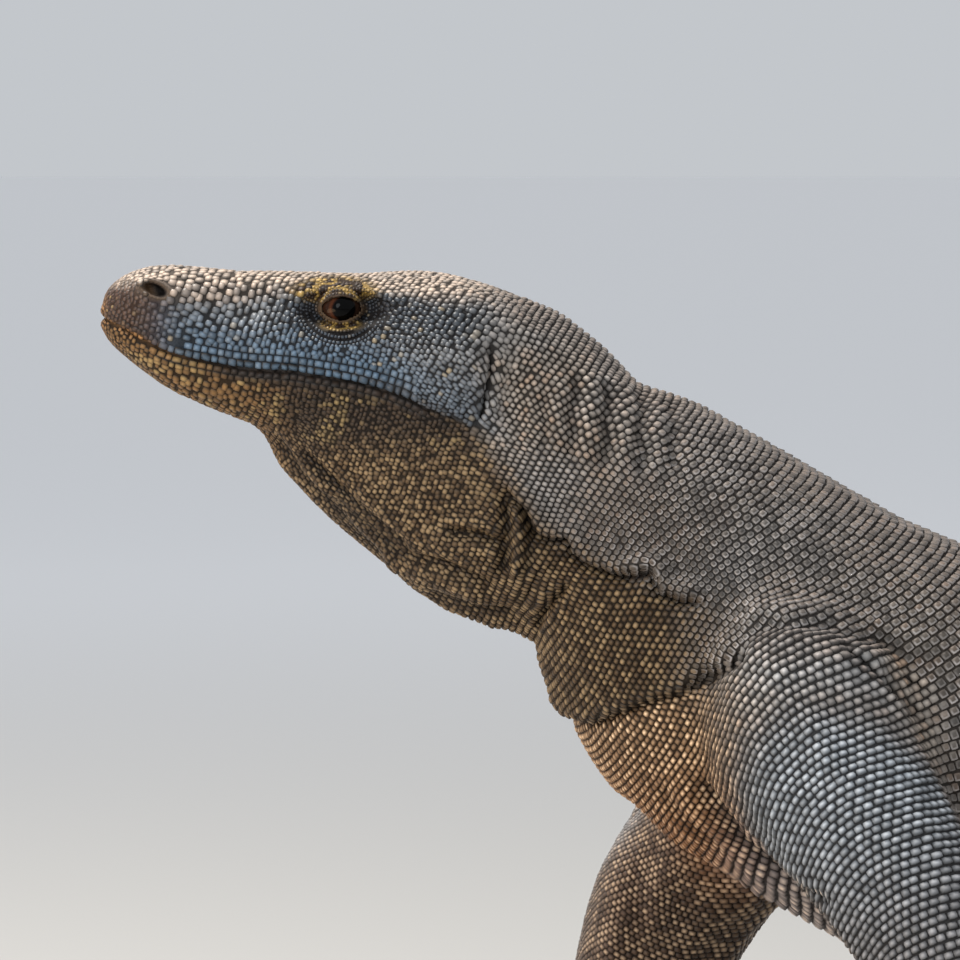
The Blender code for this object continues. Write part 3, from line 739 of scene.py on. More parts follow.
def flow_over(web):
    """The way the hide lies at each point, from snout to toes and tail, and how far the snout is."""
    x, _, z = drawn(web.places).T
    runs = np.linalg.norm(np.diff(web.places[web.edges], axis=1)[:, 0], axis=1)
    reach = web.distances(np.argmin(x), runs)
    ends = ((z < 0.016) & (x < 1.15)) | (x > x.max() - 0.01)
    start = reach < 0.006
    level = reach / reach.max()
    level[ends] = np.where(x[ends] > 1.15, TAIL_DRAW, 1.0)
    level[start] = 0.0
    level = web.settle(level, np.zeros(web.count), ~(ends | start), FLOW_ROUNDS)
    flow = unit(web.slopes_at_points(level))
    away = unit(web.slopes_at_points(reach))
    flow = np.where((ends | start)[:, None], away, flow)
    normals = web.normals()
    for _ in range(10):
        flow = web.smoothed(flow, 2)
        flow = unit(flow - normals * (flow * normals).sum(axis=1, keepdims=True))
    return flow, reach


def row_field(web, flow, lengths, reach):
    """A number that grows by 1 from each row of scales to the next."""
    pace = flow / lengths[:, None]
    runs = np.diff(web.places[web.edges], axis=1)[:, 0]
    a, b = web.edges.T
    steps = ((pace[a] + pace[b]) / 2 * runs).sum(axis=1)
    drive = np.bincount(b, -steps, web.count) + np.bincount(a, steps, web.count)
    costs = np.linalg.norm(runs, axis=1) / ((lengths[a] + lengths[b]) / 2)
    snout = np.argmin(reach)
    free = np.arange(web.count) != snout
    return web.settle(web.distances(snout, costs), drive, free, ROW_ROUNDS)


# ---------------------------------------------------------------- rows and seats of the scales

CROWDED = 0.67  # of a scale's width: seats nearer than that are merged
SPARSE = 1.40  # and a gap wider than that takes another seat
EVENING = 0.20  # share of the pull of its two neighbours by which a seat moves in a round
EVENING_ROUNDS = 7
SHORTEST_CHAIN = 4
BETWEEN_ROWS = 0.1234567  # keeps the rows off the web's points
HINTED = 2.2  # widths of a scale within which the row before still hints at a seat

# Of one row round the animal: its chain, the places of its seats along it in crossings, the room that each
# has in scales, the row's level, and the places again as shares of the way round
Seats = namedtuple("Seats", "chain place room level turn")


class Rows:
    """The lines round the animal where the field is whole, as chains of crossings of the web's edges."""

    def __init__(self, web, field):
        codes = web.edges[:, 0] * web.count + web.edges[:, 1]
        values = field[web.triangles]
        lowest = np.ceil(values.min(axis=1)).astype(int)
        highest = np.floor(values.max(axis=1)).astype(int)
        found = []
        for k in range(int((highest - lowest).max()) + 1):
            crossed = np.flatnonzero(lowest + k <= highest)
            corners = web.triangles[crossed]
            level = lowest[crossed] + k
            lower = field[corners] < level[:, None]
            start, end = np.full((2, len(corners)), -1)
            for i, j in ((0, 1), (1, 2), (2, 0)):
                a, b = corners[:, i], corners[:, j]
                edge = np.searchsorted(codes, np.minimum(a, b) * web.count + np.maximum(a, b))
                start = np.where(lower[:, i] & ~lower[:, j], edge, start)
                end = np.where(~lower[:, i] & lower[:, j], edge, end)
            found.append((start, end, level))
        start, end, level = (np.concatenate(part) for part in zip(*found))
        whole = (start >= 0) & (end >= 0)
        start, end, level = start[whole], end[whole], level[whole]
        span = int(level.max()) + 2
        keys = start * span + level
        order = np.argsort(keys)
        following = order[np.searchsorted(keys, end * span + level, sorter=order)]
        self.ends = web.edges[start]
        a, b = self.ends.T
        self.share = (level - field[a]) / (field[b] - field[a])
        self.level = level
        self.chains = self.chained(following.tolist())

    def chained(self, following):
        """The chains at each level, from which crossing follows which."""
        chains, seen = {}, [False] * len(following)
        for first in range(len(following)):
            chain = []
            point = first
            while not seen[point]:
                seen[point] = True
                chain.append(point)
                point = following[point]
            if len(chain) >= SHORTEST_CHAIN:
                chains.setdefault(int(self.level[first]), []).append(np.array(chain))
        return chains

    def at_crossings(self, values):
        share = like(self.share, values)
        return values[self.ends[:, 0]] * (1 - share) + values[self.ends[:, 1]] * share


def between(values, chain, place):
    """Values on a closed chain at places counted in crossings."""
    whole = np.floor(place).astype(int)
    share = like(place - whole, values)
    return values[chain[whole % len(chain)]] * (1 - share) + values[chain[(whole + 1) % len(chain)]] * share


def evened(seats, total):
    """Seats round a row of that length, counted in scales: none crowded, no gap, each moved a little."""
    if len(seats) < 2:
        return (np.arange(max(1, round(total))) + 0.5) * total / max(1, round(total))
    seats = np.sort(seats % total)
    for _ in range(EVENING_ROUNDS):
        gaps = np.diff(np.append(seats, seats[0] + total))
        # of a crowded run, the first pair is merged
        crowded = (gaps < CROWDED) & (np.roll(gaps, 1) >= CROWDED)
        if len(seats) > 3 and crowded.any():
            seats = seats + np.where(crowded, gaps / 2, 0)
            seats = seats[~np.roll(crowded, 1)]
            gaps = np.diff(np.append(seats, seats[0] + total))
        wide = gaps > SPARSE
        if wide.any():
            seats = np.sort(np.append(seats, (seats + gaps / 2)[wide]) % total)
        seats = np.sort(seats % total)
        ahead = np.append(seats[1:], seats[0] + total)
        behind = np.insert(seats[:-1], 0, seats[-1] - total)
        seats = seats + EVENING * (ahead + behind - 2 * seats)
    return np.sort(seats % total)


def nearest_of(places, others):
    """Which of the others is nearest to each place, and the square of how far off it is."""
    gaps = (places**2).sum(axis=1)[:, None] + (others**2).sum(axis=1)[None] - 2 * places @ others.T
    nearest = np.argmin(gaps, axis=1)
    return nearest, gaps[np.arange(len(places)), nearest]


class Chain:
    """One closed row, with its length counted in scales."""

    def __init__(self, points, widths):
        self.points = points
        self.steps = np.roll(points, -1, axis=0) - points
        self.lengths = np.maximum(np.linalg.norm(self.steps, axis=1), 1e-9)
        across = (widths + np.roll(widths, -1)) / 2
        self.counted = np.concatenate([[0], np.cumsum(self.lengths / across)])
        self.total = self.counted[-1]

    def under(self, hints, at):
        """Where hints fall on the row, each just before or after the point that is nearest to it."""
        ahead = ((hints - self.points[at]) * self.steps[at]).sum(axis=1) / self.lengths[at] ** 2
        back = (at - 1) % len(self.points)
        behind = ((hints - self.points[back]) * self.steps[back]).sum(axis=1) / self.lengths[back] ** 2
        start = np.where(ahead > 0, at, back)
        share = np.clip(np.where(ahead > 0, ahead, behind), 0, 1)
        return self.counted[start] + share * (self.counted[start + 1] - self.counted[start])

    def in_crossings(self, seats):
        return np.interp(seats % self.total, self.counted, np.arange(len(self.counted)))


def seat_scales(rows, places, widths):
    """The seats of every row, hinted at by the middles between the seats of the row before."""
    spots = rows.at_crossings(places)
    room = rows.at_crossings(widths)
    seated = []
    hints = np.zeros((0, 3))
    for level in range(min(rows.chains), max(rows.chains) + 1):
        chains = rows.chains.get(level, [])
        if not chains:
            continue
        owner = np.concatenate([np.full(len(chain), i) for i, chain in enumerate(chains)])
        inner = np.concatenate([np.arange(len(chain)) for chain in chains])
        crossings = np.concatenate(chains)
        nearest, gaps = nearest_of(hints, spots[crossings])
        near = gaps < (HINTED * room[crossings])[nearest] ** 2
        middles = []
        for i, chain in enumerate(chains):
            row = Chain(spots[chain], room[chain])
            mine = near & (owner[nearest] == i)
            seats = evened(row.under(hints[mine], inner[nearest[mine]]), row.total)
            gap = np.diff(np.append(seats, seats[0] + row.total))
            share = (gap + np.roll(gap, 1)) / 2
            seated.append(Seats(chain, row.in_crossings(seats), share, level, seats / row.total))
            middle = (seats + gap / 2) % row.total
            middles.append(between(spots, chain, row.in_crossings(middle)))
        hints = np.concatenate(middles)
    return seated


def gathered(rows, seated, values):
    """Values of the web's points, at every seat."""
    crossings = rows.at_crossings(values)
    return np.concatenate([between(crossings, seats.chain, seats.place) for seats in seated])


# ---------------------------------------------------------------- markings, with painted light and shade

KINDS = {
    "head": ("head", "lower_jaw"),
    "neck": ("neck",),
    "limb": ("upper_arm", "forearm", "thigh", "shank"),
    "paw": ("hand", "foot"),
    "tail": ("tail_base", "tail_middle", "tail_end"),
}
BORDER_ROUNDS = 45  # of smoothing, which makes the borders between the kinds soft


def kinds_over(web, under):
    """How far each point belongs to each kind of part, with soft borders."""
    part = PART_OF_FLESH[under]
    return {
        kind: web.smoothed(np.isin(part, parts).astype(float), BORDER_ROUNDS)
        for kind, parts in KINDS.items()
    }


def oval(flat, middle, radii, soft=0.35):
    """1 inside an oval of the side view and 0 outside it, over a soft edge."""
    across, rise = (flat - np.array(middle)).T
    return ease(np.hypot(across / radii[0], rise / radii[1]), 1 + soft, 1 - soft)


def eye_marks(places, face):
    """The yellow of brow and lower lid, the lids' rim, and painted shadow in the creases and corners round
    them.
    """
    x, _, z = places.T
    flat = side_view(places)
    brow = oval(flat, (-0.0722, 0.4956), (0.0212, 0.0062), 0.22)
    lower_lid = oval(flat, (-0.0690, 0.4790), (0.0108, 0.0028), 0.3)
    yellow = np.maximum(brow, lower_lid) * face
    level = lid_level(x - EYE_X, z - EYE_Z)
    rim = ease(level, 1.30, 1.16) * (x < 0) * (1 - 0.55 * ease(z, EYE_Z, EYE_Z + 0.004))
    beside = lid_distance(x - EYE_X, z - EYE_Z)
    under = ease(z, EYE_Z + 0.002, EYE_Z - 0.003) * face
    creases = under * sum(bump(beside, crease, 1.1) for crease in LID_CREASES)
    creases = np.maximum(creases, 0.45 * under * ease(beside, 13.5, 11.0))
    corners = oval(flat, (-0.0480, 0.4868), (0.0085, 0.0052), 0.5)
    corners += oval(flat, (-0.0850, 0.4850), (0.0055, 0.0050), 0.5)
    shadow = np.maximum(creases, 0.85 * corners * face) * (1 - yellow) * (x < 0)
    return yellow, rim, shadow


def head_marks(places, up, over_lip, face, upper):
    """The markings of the snout, the cheeks, the lips, the jaw and the top of the head, with the light and
    shade painted on them.
    """
    x, y, z = places.T
    flat = side_view(places)
    lower = (1 - ease(over_lip, -0.0018, 0.0002)) * ease(x, 0.010, -0.010)
    # the up-facing top of the head, painted paler as lit from above
    top = ease(up, 0.45, 0.85) * ease(z, 0.485, 0.497)
    sides = upper * (1 - top)
    yellow, lid_rim, shadow = eye_marks(places, face)
    off_middle = np.abs(y) > 0.004
    level = nostril_level(flat)
    nostril = ease(level, 1.05, 0.80) * off_middle
    nostril_front = nostril * ease(x + 0.4 * (z - NOSTRIL[1]), NOSTRIL[0] + 0.001, NOSTRIL[0] - 0.003)
    nostril_rim = ease(level, 1.42, 1.30) * ease(level, 0.98, 1.08) * off_middle
    from_mouth = np.abs(over_lip)
    # the slit between the lips, painted dark as shade
    slit = ease(from_mouth, 0.0011, 0.0004) * ease(x, -0.130, -0.120) * (x < -0.008)
    # painted shadow along the upper lip towards the back of the mouth
    gape = upper * ease(over_lip, 0.0075, 0.0020) * ease(x, -0.075, -0.045)
    # painted shade in the groove just below the line of the mouth
    band = ease(over_lip, -0.0072, -0.0042) * ease(over_lip, 0.0014, 0.0)
    front_lips = ease(from_mouth, 0.0022, 0.0008) * ease(x, -0.120, -0.150)
    front_lips += ease(x, -0.184, -0.1885) * ease(z, 0.502, 0.494)
    # the face's blue grey: partly its own colour, partly painted reflection of the sky on its shaded sides,
    # and less on the top of the head
    blue = upper * ease(x, -0.172, -0.140) * (1 - 0.92 * top) * (0.15 + 0.85 * ease(over_lip, 0.030, 0.008))
    return {
        "blue": blue * (1 - 0.45 * ease(x, -0.055, -0.020)),
        "cheek": sides,
        "temple": sides * ease(z, 0.462, 0.478) * ease(x, -0.115, -0.090),
        # painted light on the up-facing top of the head and along the top of the snout
        "pale": np.maximum(top * face, 0.85 * upper * oval(flat, (-0.1330, 0.4990), (0.036, 0.0095))),
        "plum": upper * ease(x, -0.143, -0.163) * ease(z, 0.508, 0.497),
        "ochre": np.maximum(front_lips, 0.7 * nostril_front),
        "yellow": yellow,
        "rim": np.maximum(lid_rim, 0.8 * nostril_rim * face),
        "shadow": np.maximum(shadow, 0.55 * gape),
        "band": band * ease(x, -0.140, -0.122) * ease(x, -0.010, -0.034),
        "jaw": lower * ease(z, 0.408, 0.434),
        "chin": lower * ease(x, -0.085, -0.122),
        # painted shade inside the nostrils and in the slit of the mouth
        "pit": np.maximum(nostril * (1 - 0.65 * nostril_front), slit) * face,
    }


def body_marks(places, normals, kinds, face, upper):
    """The markings of the throat, the chest, the legs and the back, with the light and shade painted on
    them.
    """
    x, y, z = places.T
    flat = side_view(places)
    ahead, _, up = normals.T
    out = normals[:, 1] * np.sign(y)
    legs = np.clip(kinds["limb"] + kinds["paw"], 0, 1)
    throat = ease(above_line(flat, NECK_LINE), 0.010, -0.008) * ease(x, 0.135, 0.085)
    throat = throat * (1 - upper) * (1 - legs)
    breast = ease(above_line(flat, CHEST_FOLD), 0.002, -0.006) * ease(x + 0.6 * (z - 0.25), 0.165, 0.110)
    breast = breast * (1 - legs * ease(out, -0.9, 0.1))
    belly = 0.6 * ease(up, -0.35, -0.75) * ease(x, 0.08, 0.16)
    chest = np.maximum(breast, belly)
    under_fold = ease(-above_line(flat, SHOULDER_FOLD), -0.001, 0.003) * ease(x, 0.235, 0.215)
    under_fold = under_fold * (1 - kinds["neck"])
    shoulder = under_fold * ease(x, 0.105, 0.150) * ease(x + 0.35 * (z - 0.25), 0.225, 0.205) * (1 - legs)
    # painted sky light: the far legs' forward faces take the grey blue
    right_arm = 0.25 * legs * (y > 0) * ease(ahead, -0.15, -0.70)
    # the legs' outer and upper faces are grey blue, partly painted sky light; their other faces are painted
    # dark as shade
    cool = legs * np.maximum(ease(out, -0.30, 0.35), 0.6 * ease(up, 0.0, 0.6))
    cool = np.maximum(np.maximum(cool, right_arm), 0.60 * shoulder)
    plain = (1 - face) * (1 - legs) * (1 - throat) * (1 - chest)
    # painted shade: darker where the back faces up towards the lamp above, beside the neck's ridge and low
    # on the front legs; on the neck it is also the hide's own darker colour
    above = plain * np.maximum(0.75 * ease(up, 0.30, 0.85), 0.28 * kinds["neck"])
    ridge_shade = 0.45 * plain * oval(flat, (0.0800, 0.3850), (0.034, 0.024), 0.6)
    low_arm_shade = 0.50 * cool * legs * ease(z + 0.5 * (0.20 - x), 0.27, 0.17) * (x < 0.40)
    # the back's pale net: a pattern whose rings carry painted highlight, thinned where the back faces up to
    # the lamp
    net = plain * ease(x - 0.9 * (z - 0.40), 0.02, 0.12)
    net = net * (1 - under_fold) * (1 - 0.62 * ease(up, 0.35, 0.90))
    return {
        "throat": throat,
        "chest": chest,
        # darker and redder towards the bottom of the breast, partly painted shade on its underside
        "low": breast * ease(z, 0.285, 0.215),
        "cool": cool,
        # painted shade on the legs' inner and lower faces
        "inner": legs * (1 - cool),
        "net": net,
        "dusk": np.maximum(np.maximum(above, ridge_shade), low_arm_shade),
        # how deep in a fold, by which shade is painted at the folds' bottoms
        "deep": kinds["deep"],
    }


def markings_at(places, normals, kinds):
    """How much of each marking, painted light and shade among them, lies at each place: the same for the
    skin and the coat.
    """
    x, _, z = places.T
    over_lip = above_line(side_view(places), MOUTH_LINE)
    face = ease(x, 0.022, -0.014) * ease(z, 0.36, 0.40)
    upper = ease(over_lip, -0.0002, 0.0018) * face
    marks = head_marks(places, normals[:, 2], over_lip, face, upper)
    marks |= body_marks(places, normals, kinds, face, upper)
    return {name: np.clip(value, 0, 1) for name, value in marks.items()}


# ---------------------------------------------------------------- the coat of scales

# Of each part's scales: how tall one stands in millimetres, how square its outline is, how far its rear edge
# is raised, how flat its top is, and its length and breadth over the room it has
SCALE_BUILDS = {
    "head": (0.90, 0.35, 0.14, 0.20, 1.17, 1.20),
    "lower_jaw": (0.85, 0.40, 0.12, 0.20, 1.12, 1.12),
    "neck": (1.40, 0.35, 0.25, 0.10, 1.04, 1.04),
    "trunk": (1.25, 0.85, 0.30, 0.75, 1.00, 0.98),
    "tail_base": (1.15, 0.95, 0.30, 0.70, 1.00, 0.98),
    "tail_middle": (1.05, 0.95, 0.30, 0.70, 1.00, 0.98),
    "tail_end": (0.80, 0.90, 0.25, 0.60, 1.02, 1.00),
    "upper_arm": (1.25, 0.55, 0.50, 0.25, 1.02, 1.16),
    "forearm": (1.12, 0.55, 0.50, 0.30, 1.02, 1.16),
    "hand": (0.90, 0.45, 0.30, 0.20, 1.04, 1.04),
    "thigh": (1.45, 0.45, 0.40, 0.15, 0.98, 1.04),
    "shank": (1.30, 0.45, 0.40, 0.15, 0.98, 1.04),
    "foot": (0.95, 0.45, 0.30, 0.20, 1.04, 1.04),
}
SUNK = 0.60  # share of its height by which a scale's rim lies under the skin
RING_STAND = 0.62  # and by which the ring round its top stands over it
RING = 0.74  # where the top of a scale begins, out from its middle
SQUARE = 0.36  # by which a square scale's corners reach further out
SHAKE = 0.035  # share of their size by which scales stray
HEAD_SHAKE = 0.11  # and by how much more on the head
FULL_SCALE = 3.6 * MILLIMETRE  # a smaller scale stands less tall
PATCH = 0.003  # across, of a scale on the unrolled skin, whose points reach over PATCH_POINTS
PATCH_POINTS = 2.6
MARGIN = 0.01  # round the unrolled skin
BARE_SLIT = 0.8 * MILLIMETRE  # either side of the line of the mouth and of the ear's slit
EVEN_ENOUGH = 0.955  # below it the skin turns too sharply at a nostril's edge to carry a scale
SIZE_ROUNDS = 60  # of smoothing of the scales' sizes over the skin
NEAR_ROUNDS, CALM_ROUNDS, BROAD_ROUNDS = 1, 7, 12  # of smoothing of the way that the skin faces


def scale_form(sides):
    """A low dome of a few faces: its points on a unit circle, its faces and each point's height, 0 to 1."""
    bm = bmesh.new()
    bmesh.ops.create_uvsphere(bm, u_segments=sides, v_segments=4, radius=1.0)
    lower = [v for v in bm.verts if v.co.z < -0.01]
    bmesh.ops.delete(bm, geom=lower, context="VERTS")
    bmesh.ops.triangulate(bm, faces=bm.faces)
    points, faces = arrays_of(bm)
    bm.free()
    stand = np.select([points[:, 2] < 0.01, points[:, 2] < 0.99], [0.0, RING_STAND], 1.0)
    from_middle = np.hypot(points[:, 0], points[:, 1])
    spread = np.where(stand == RING_STAND, RING / np.maximum(from_middle, 1e-6), 1.0)
    points[:, :2] *= spread[:, None]
    return points, faces, stand


def coat_of(rows, seated, web, field, sizes, under, kinds, rng):
    """The coat's scales as arrays: root, facing, lie, size, build and place on the skin."""
    coat = {kind: gathered(rows, seated, amount) for kind, amount in kinds.items()}
    coat["root"] = gathered(rows, seated, web.places)
    coat["under"] = np.concatenate(
        [under[rows.ends[seats.chain[seats.place.astype(int) % len(seats.chain)], 0]] for seats in seated]
    )
    coat["level"] = np.concatenate([np.full(len(seats.place), float(seats.level)) for seats in seated])
    coat["round"] = np.concatenate([seats.turn for seats in seated])

    normals = web.normals()
    by_nostril = ease(nostril_level(side_view(drawn(web.places))), 2.2, 1.5)
    calm = np.maximum(kinds["deep"], by_nostril)[:, None]
    facings = web.smoothed(normals, NEAR_ROUNDS) * (1 - calm) + web.smoothed(normals, CALM_ROUNDS) * calm
    coat["facing"] = unit(gathered(rows, seated, facings))
    broad = unit(gathered(rows, seated, web.smoothed(normals, BROAD_ROUNDS)))
    coat["even"] = (broad * unit(gathered(rows, seated, normals))).sum(axis=1)
    slope = gathered(rows, seated, web.slopes_at_points(field))
    coat["lie"] = unit(slope - coat["facing"] * (slope * coat["facing"]).sum(axis=1, keepdims=True))

    nominal = gathered(rows, seated, sizes)
    between_rows = 1 / np.maximum(np.linalg.norm(slope, axis=1), 1e-6)
    coat["length"] = np.clip(between_rows, 0.60 * nominal[:, 0], 1.45 * nominal[:, 0])
    coat["width"] = np.concatenate([seats.room for seats in seated]) * nominal[:, 1]
    builds = np.array([SCALE_BUILDS[part] for part in PART_OF_FLESH])[coat["under"]]
    spots = drawn(coat["root"])
    below = above_line(side_view(spots), SHOULDER_FOLD) < 0
    breast = (ease(spots[:, 0], 0.235, 0.205) * (coat["head"] + coat["neck"] < 0.3) * below)[:, None]
    builds = builds * (1 - breast) + np.array(SCALE_BUILDS["upper_arm"]) * breast
    coat["build"] = builds * np.array([MILLIMETRE, 1, 1, 1, 1, 1])
    coat["build"][:, 0] *= 1 - 0.45 * coat["deep"]
    coat["build"][:, 0] *= np.clip(np.minimum(coat["length"], coat["width"]) / FULL_SCALE, 0.45, 1.1)

    shake = (SHAKE + HEAD_SHAKE * coat["head"])[:, None] * rng.normal(0, 1, (len(slope), 4))
    side = np.cross(coat["facing"], coat["lie"])
    stray = shake[:, :1] * coat["length"][:, None] * coat["lie"]
    coat["root"] += stray + shake[:, 1:2] * coat["width"][:, None] * side
    coat["length"] *= 1 + np.clip(shake[:, 2], -0.2, 0.25)
    coat["width"] *= 1 + np.clip(shake[:, 3], -0.2, 0.25)
    on_snout = ease(drawn(coat["root"])[:, 0], -0.150, -0.168)
    coat["build"][:, 0] *= 1 - 0.55 * on_snout
    return coat


# Rows of plates along the lips: how far above the line of the mouth, how long and how tall a plate is, in
# millimetres, and from and to which x
LIP_ROWS = (
    (2.3, 4.4, 3.8, -0.1600, -0.0330),
    (6.1, 4.1, 3.7, -0.1500, -0.0330),
    (9.7, 3.6, 3.4, -0.1380, -0.0330),
    (-2.1, 4.2, 3.2, -0.1650, -0.0250),
    (-5.2, 3.8, 3.0, -0.1600, -0.0250),
)
LIP_BAND = (-6.6, 10.7)  # over which they lie, in millimetres above the line of the mouth
LIP_ENDS = (-0.1600, -0.0320)  # from and to which x they take the coat's place
UPPER_ROWS = ((4.3, -0.1500), (8.1, -0.1380))  # the x from which they do, so many millimetres above the line
LIP_BUILD = (0.62, 0.65, 0.12, 0.45, 1.10, 1.08)
PLATE_SPREAD = 0.22  # share of their length by which the plates of a row differ
# Rows of grains round the eye: how far outside its opening in millimetres, and from and to which turn in
# degrees
LID_ROWS = (
    (1.5, 0, 360),
    (3.1, 0, 360),
    (4.7, 0, 360),
    (6.3, -15, 195),
    (7.9, 0, 360),
    (9.3, -8, 188),
    (10.6, 176, 364),
    (12.4, 180, 360),
)
LID_GRAIN = 1.75  # along a lid's scale
OUTER_GRAIN = 1.2 * LID_GRAIN  # in the rows from OUTER_ROWS out
OUTER_ROWS = 9
LID_BUILD = (0.42, 0.40, 0.10, 0.10, 1.02, 1.02)
LID_OUTSIDE = (10.2, 13.4)  # how far out they take the coat's place, over the eye and under it
SIDEWAYS = 0.30  # how squarely the skin faces out where such rows lie
CLEAR_OF_HEAD = 0.4  # to the side of the animal's middle


def lid_oval(away):
    return EYE_OPENING[0] + away * MILLIMETRE, EYE_OPENING[1] + away * MILLIMETRE


def row_along(line, step, shift):
    """Places on a dense line, about a step apart, the way it runs there and each plate's length in steps."""
    runs = np.linalg.norm(np.diff(line, axis=0), axis=1)
    reached = np.concatenate([[0], np.cumsum(runs)])
    count = int(reached[-1] / step) + 1
    uneven = 1 + PLATE_SPREAD * np.sin(2.4 * np.arange(count) + 9.0 * shift + 300 * line[0, 1])
    at = shift * step + step * (np.cumsum(uneven) - uneven / 2)
    uneven, at = uneven[at < reached[-1]], at[at < reached[-1]]

    def on_line(lengths):
        return np.stack([np.interp(lengths, reached, column) for column in line.T], axis=1)

    return on_line(at), unit(on_line(at + step / 2) - on_line(at - step / 2)), uneven


def lip_line(above, first, last):
    """The line of the mouth moved up by so much, between two places along the head."""
    x = np.linspace(first, last, 300)
    mouth = np.array(MOUTH_LINE)
    z = np.interp(x, mouth[:, 0], mouth[:, 1])
    even = np.convolve(np.pad(z, 20, mode="reflect", reflect_type="odd"), np.ones(41) / 41, mode="valid")
    way = unit(np.gradient(np.stack([x, even], axis=1), axis=0))
    return np.stack([x - above * way[:, 1], even + above * way[:, 0]], axis=1)


def lid_line(away, first, last):
    across, rise = lid_oval(away)
    turns = np.radians(np.linspace(first, last, 240))
    return np.stack([EYE_X + across * np.cos(turns), EYE_Z + rise * np.sin(turns)], axis=1)


def laid_rows(web):
    """The plates of the lips and the grains of the lids, laid on the skin from each side."""
    tree = BVHTree.FromPolygons(web.places.tolist(), web.triangles.tolist())
    lines = []
    for i, (above, long, tall, first, last) in enumerate(LIP_ROWS):
        lines.append((lip_line(above * MILLIMETRE, first, last), long, tall, 0.5 * (i % 2), LIP_BUILD))
    for i, (away, first, last) in enumerate(LID_ROWS):
        grain = LID_GRAIN if away < OUTER_ROWS else OUTER_GRAIN
        lines.append((lid_line(away, first, last), grain, LID_GRAIN, 0.5 * (i % 2), LID_BUILD))
    laid = {name: [] for name in ("root", "facing", "lie", "length", "width", "build")}
    for hand in SIDES.values():
        for line, long, tall, shift, build in lines:
            for (x, z), (run, climb), share in zip(*row_along(line, long * MILLIMETRE, shift)):
                start = Vector((x, CLEAR_OF_HEAD * hand, z)) + ORIGIN
                place, facing, _, _ = tree.ray_cast(start, Vector((0, -hand, 0)))
                if place is None or abs(facing.y) < SIDEWAYS:
                    continue
                lie = Vector((run, 0, climb))
                laid["root"].append(place)
                laid["facing"].append(facing)
                laid["lie"].append((lie - facing * lie.dot(facing)).normalized())
                laid["length"].append(long * share * MILLIMETRE)
                laid["width"].append(tall * MILLIMETRE / max(math.sqrt(abs(facing.y)), 0.6))
                laid["build"].append((build[0] * MILLIMETRE, *build[1:]))
    return {name: np.array(values) for name, values in laid.items()}


def in_laid_rows(places, normals):
    """Where the plates of the lips and the grains of the lids take the coat's place."""
    x, y, z = places.T
    over_lip = above_line(side_view(places), MOUTH_LINE) / MILLIMETRE
    lips = (over_lip > LIP_BAND[0]) & (over_lip < LIP_BAND[1]) & (x > LIP_ENDS[0]) & (x < LIP_ENDS[1])
    for height, first in UPPER_ROWS:
        lips &= (over_lip < height) | (x > first)
    lids = np.zeros(len(places), bool)
    for away, hand in zip(LID_OUTSIDE, (1, -1)):
        across, rise = lid_oval(away)
        lids |= (np.hypot((x - EYE_X) / across, (z - EYE_Z) / rise) < 1) & ((z - EYE_Z) * hand > 0)
    return (lips | lids) & (np.abs(normals[:, 1]) > SIDEWAYS) & (np.abs(y) > 0.012)


def bare_places(places, normals):
    """Where no scale sits: on the eyeballs, in the nostrils, between the lips and down the ear's slit."""
    flat = side_view(places)
    x, y, z = places.T
    eye = (lid_level(x - EYE_X, z - EYE_Z) < 1.10) & (np.abs(y) > 0.025)
    nostril = (nostril_level(flat) < 1.27) & (np.abs(y) > 0.006)
    mouth = from_line(flat, MOUTH_LINE) < BARE_SLIT
    ear = (from_line(flat, EAR) < BARE_SLIT) & (np.abs(normals[:, 1]) > 0.3)
    return (x < 0.02) & (eye | nostril | mouth | ear)


def whole_coat(coat, web):
    """The coat with the lips' and lids' own rows in their places."""
    places = drawn(coat["root"])
    kept = ~(in_laid_rows(places, coat["facing"]) | bare_places(places, coat["facing"]))
    kept &= (coat["even"] > EVEN_ENOUGH) | (nostril_level(side_view(places)) > 2.6)
    laid = laid_rows(web)
    near_head = np.flatnonzero(places[:, 0] < 0.03)
    nearest = near_head[nearest_of(laid["root"], coat["root"][near_head])[0]]
    whole = {}
    for name, values in coat.items():
        whole[name] = np.concatenate([values[kept], laid.get(name, values[nearest])])
    return whole


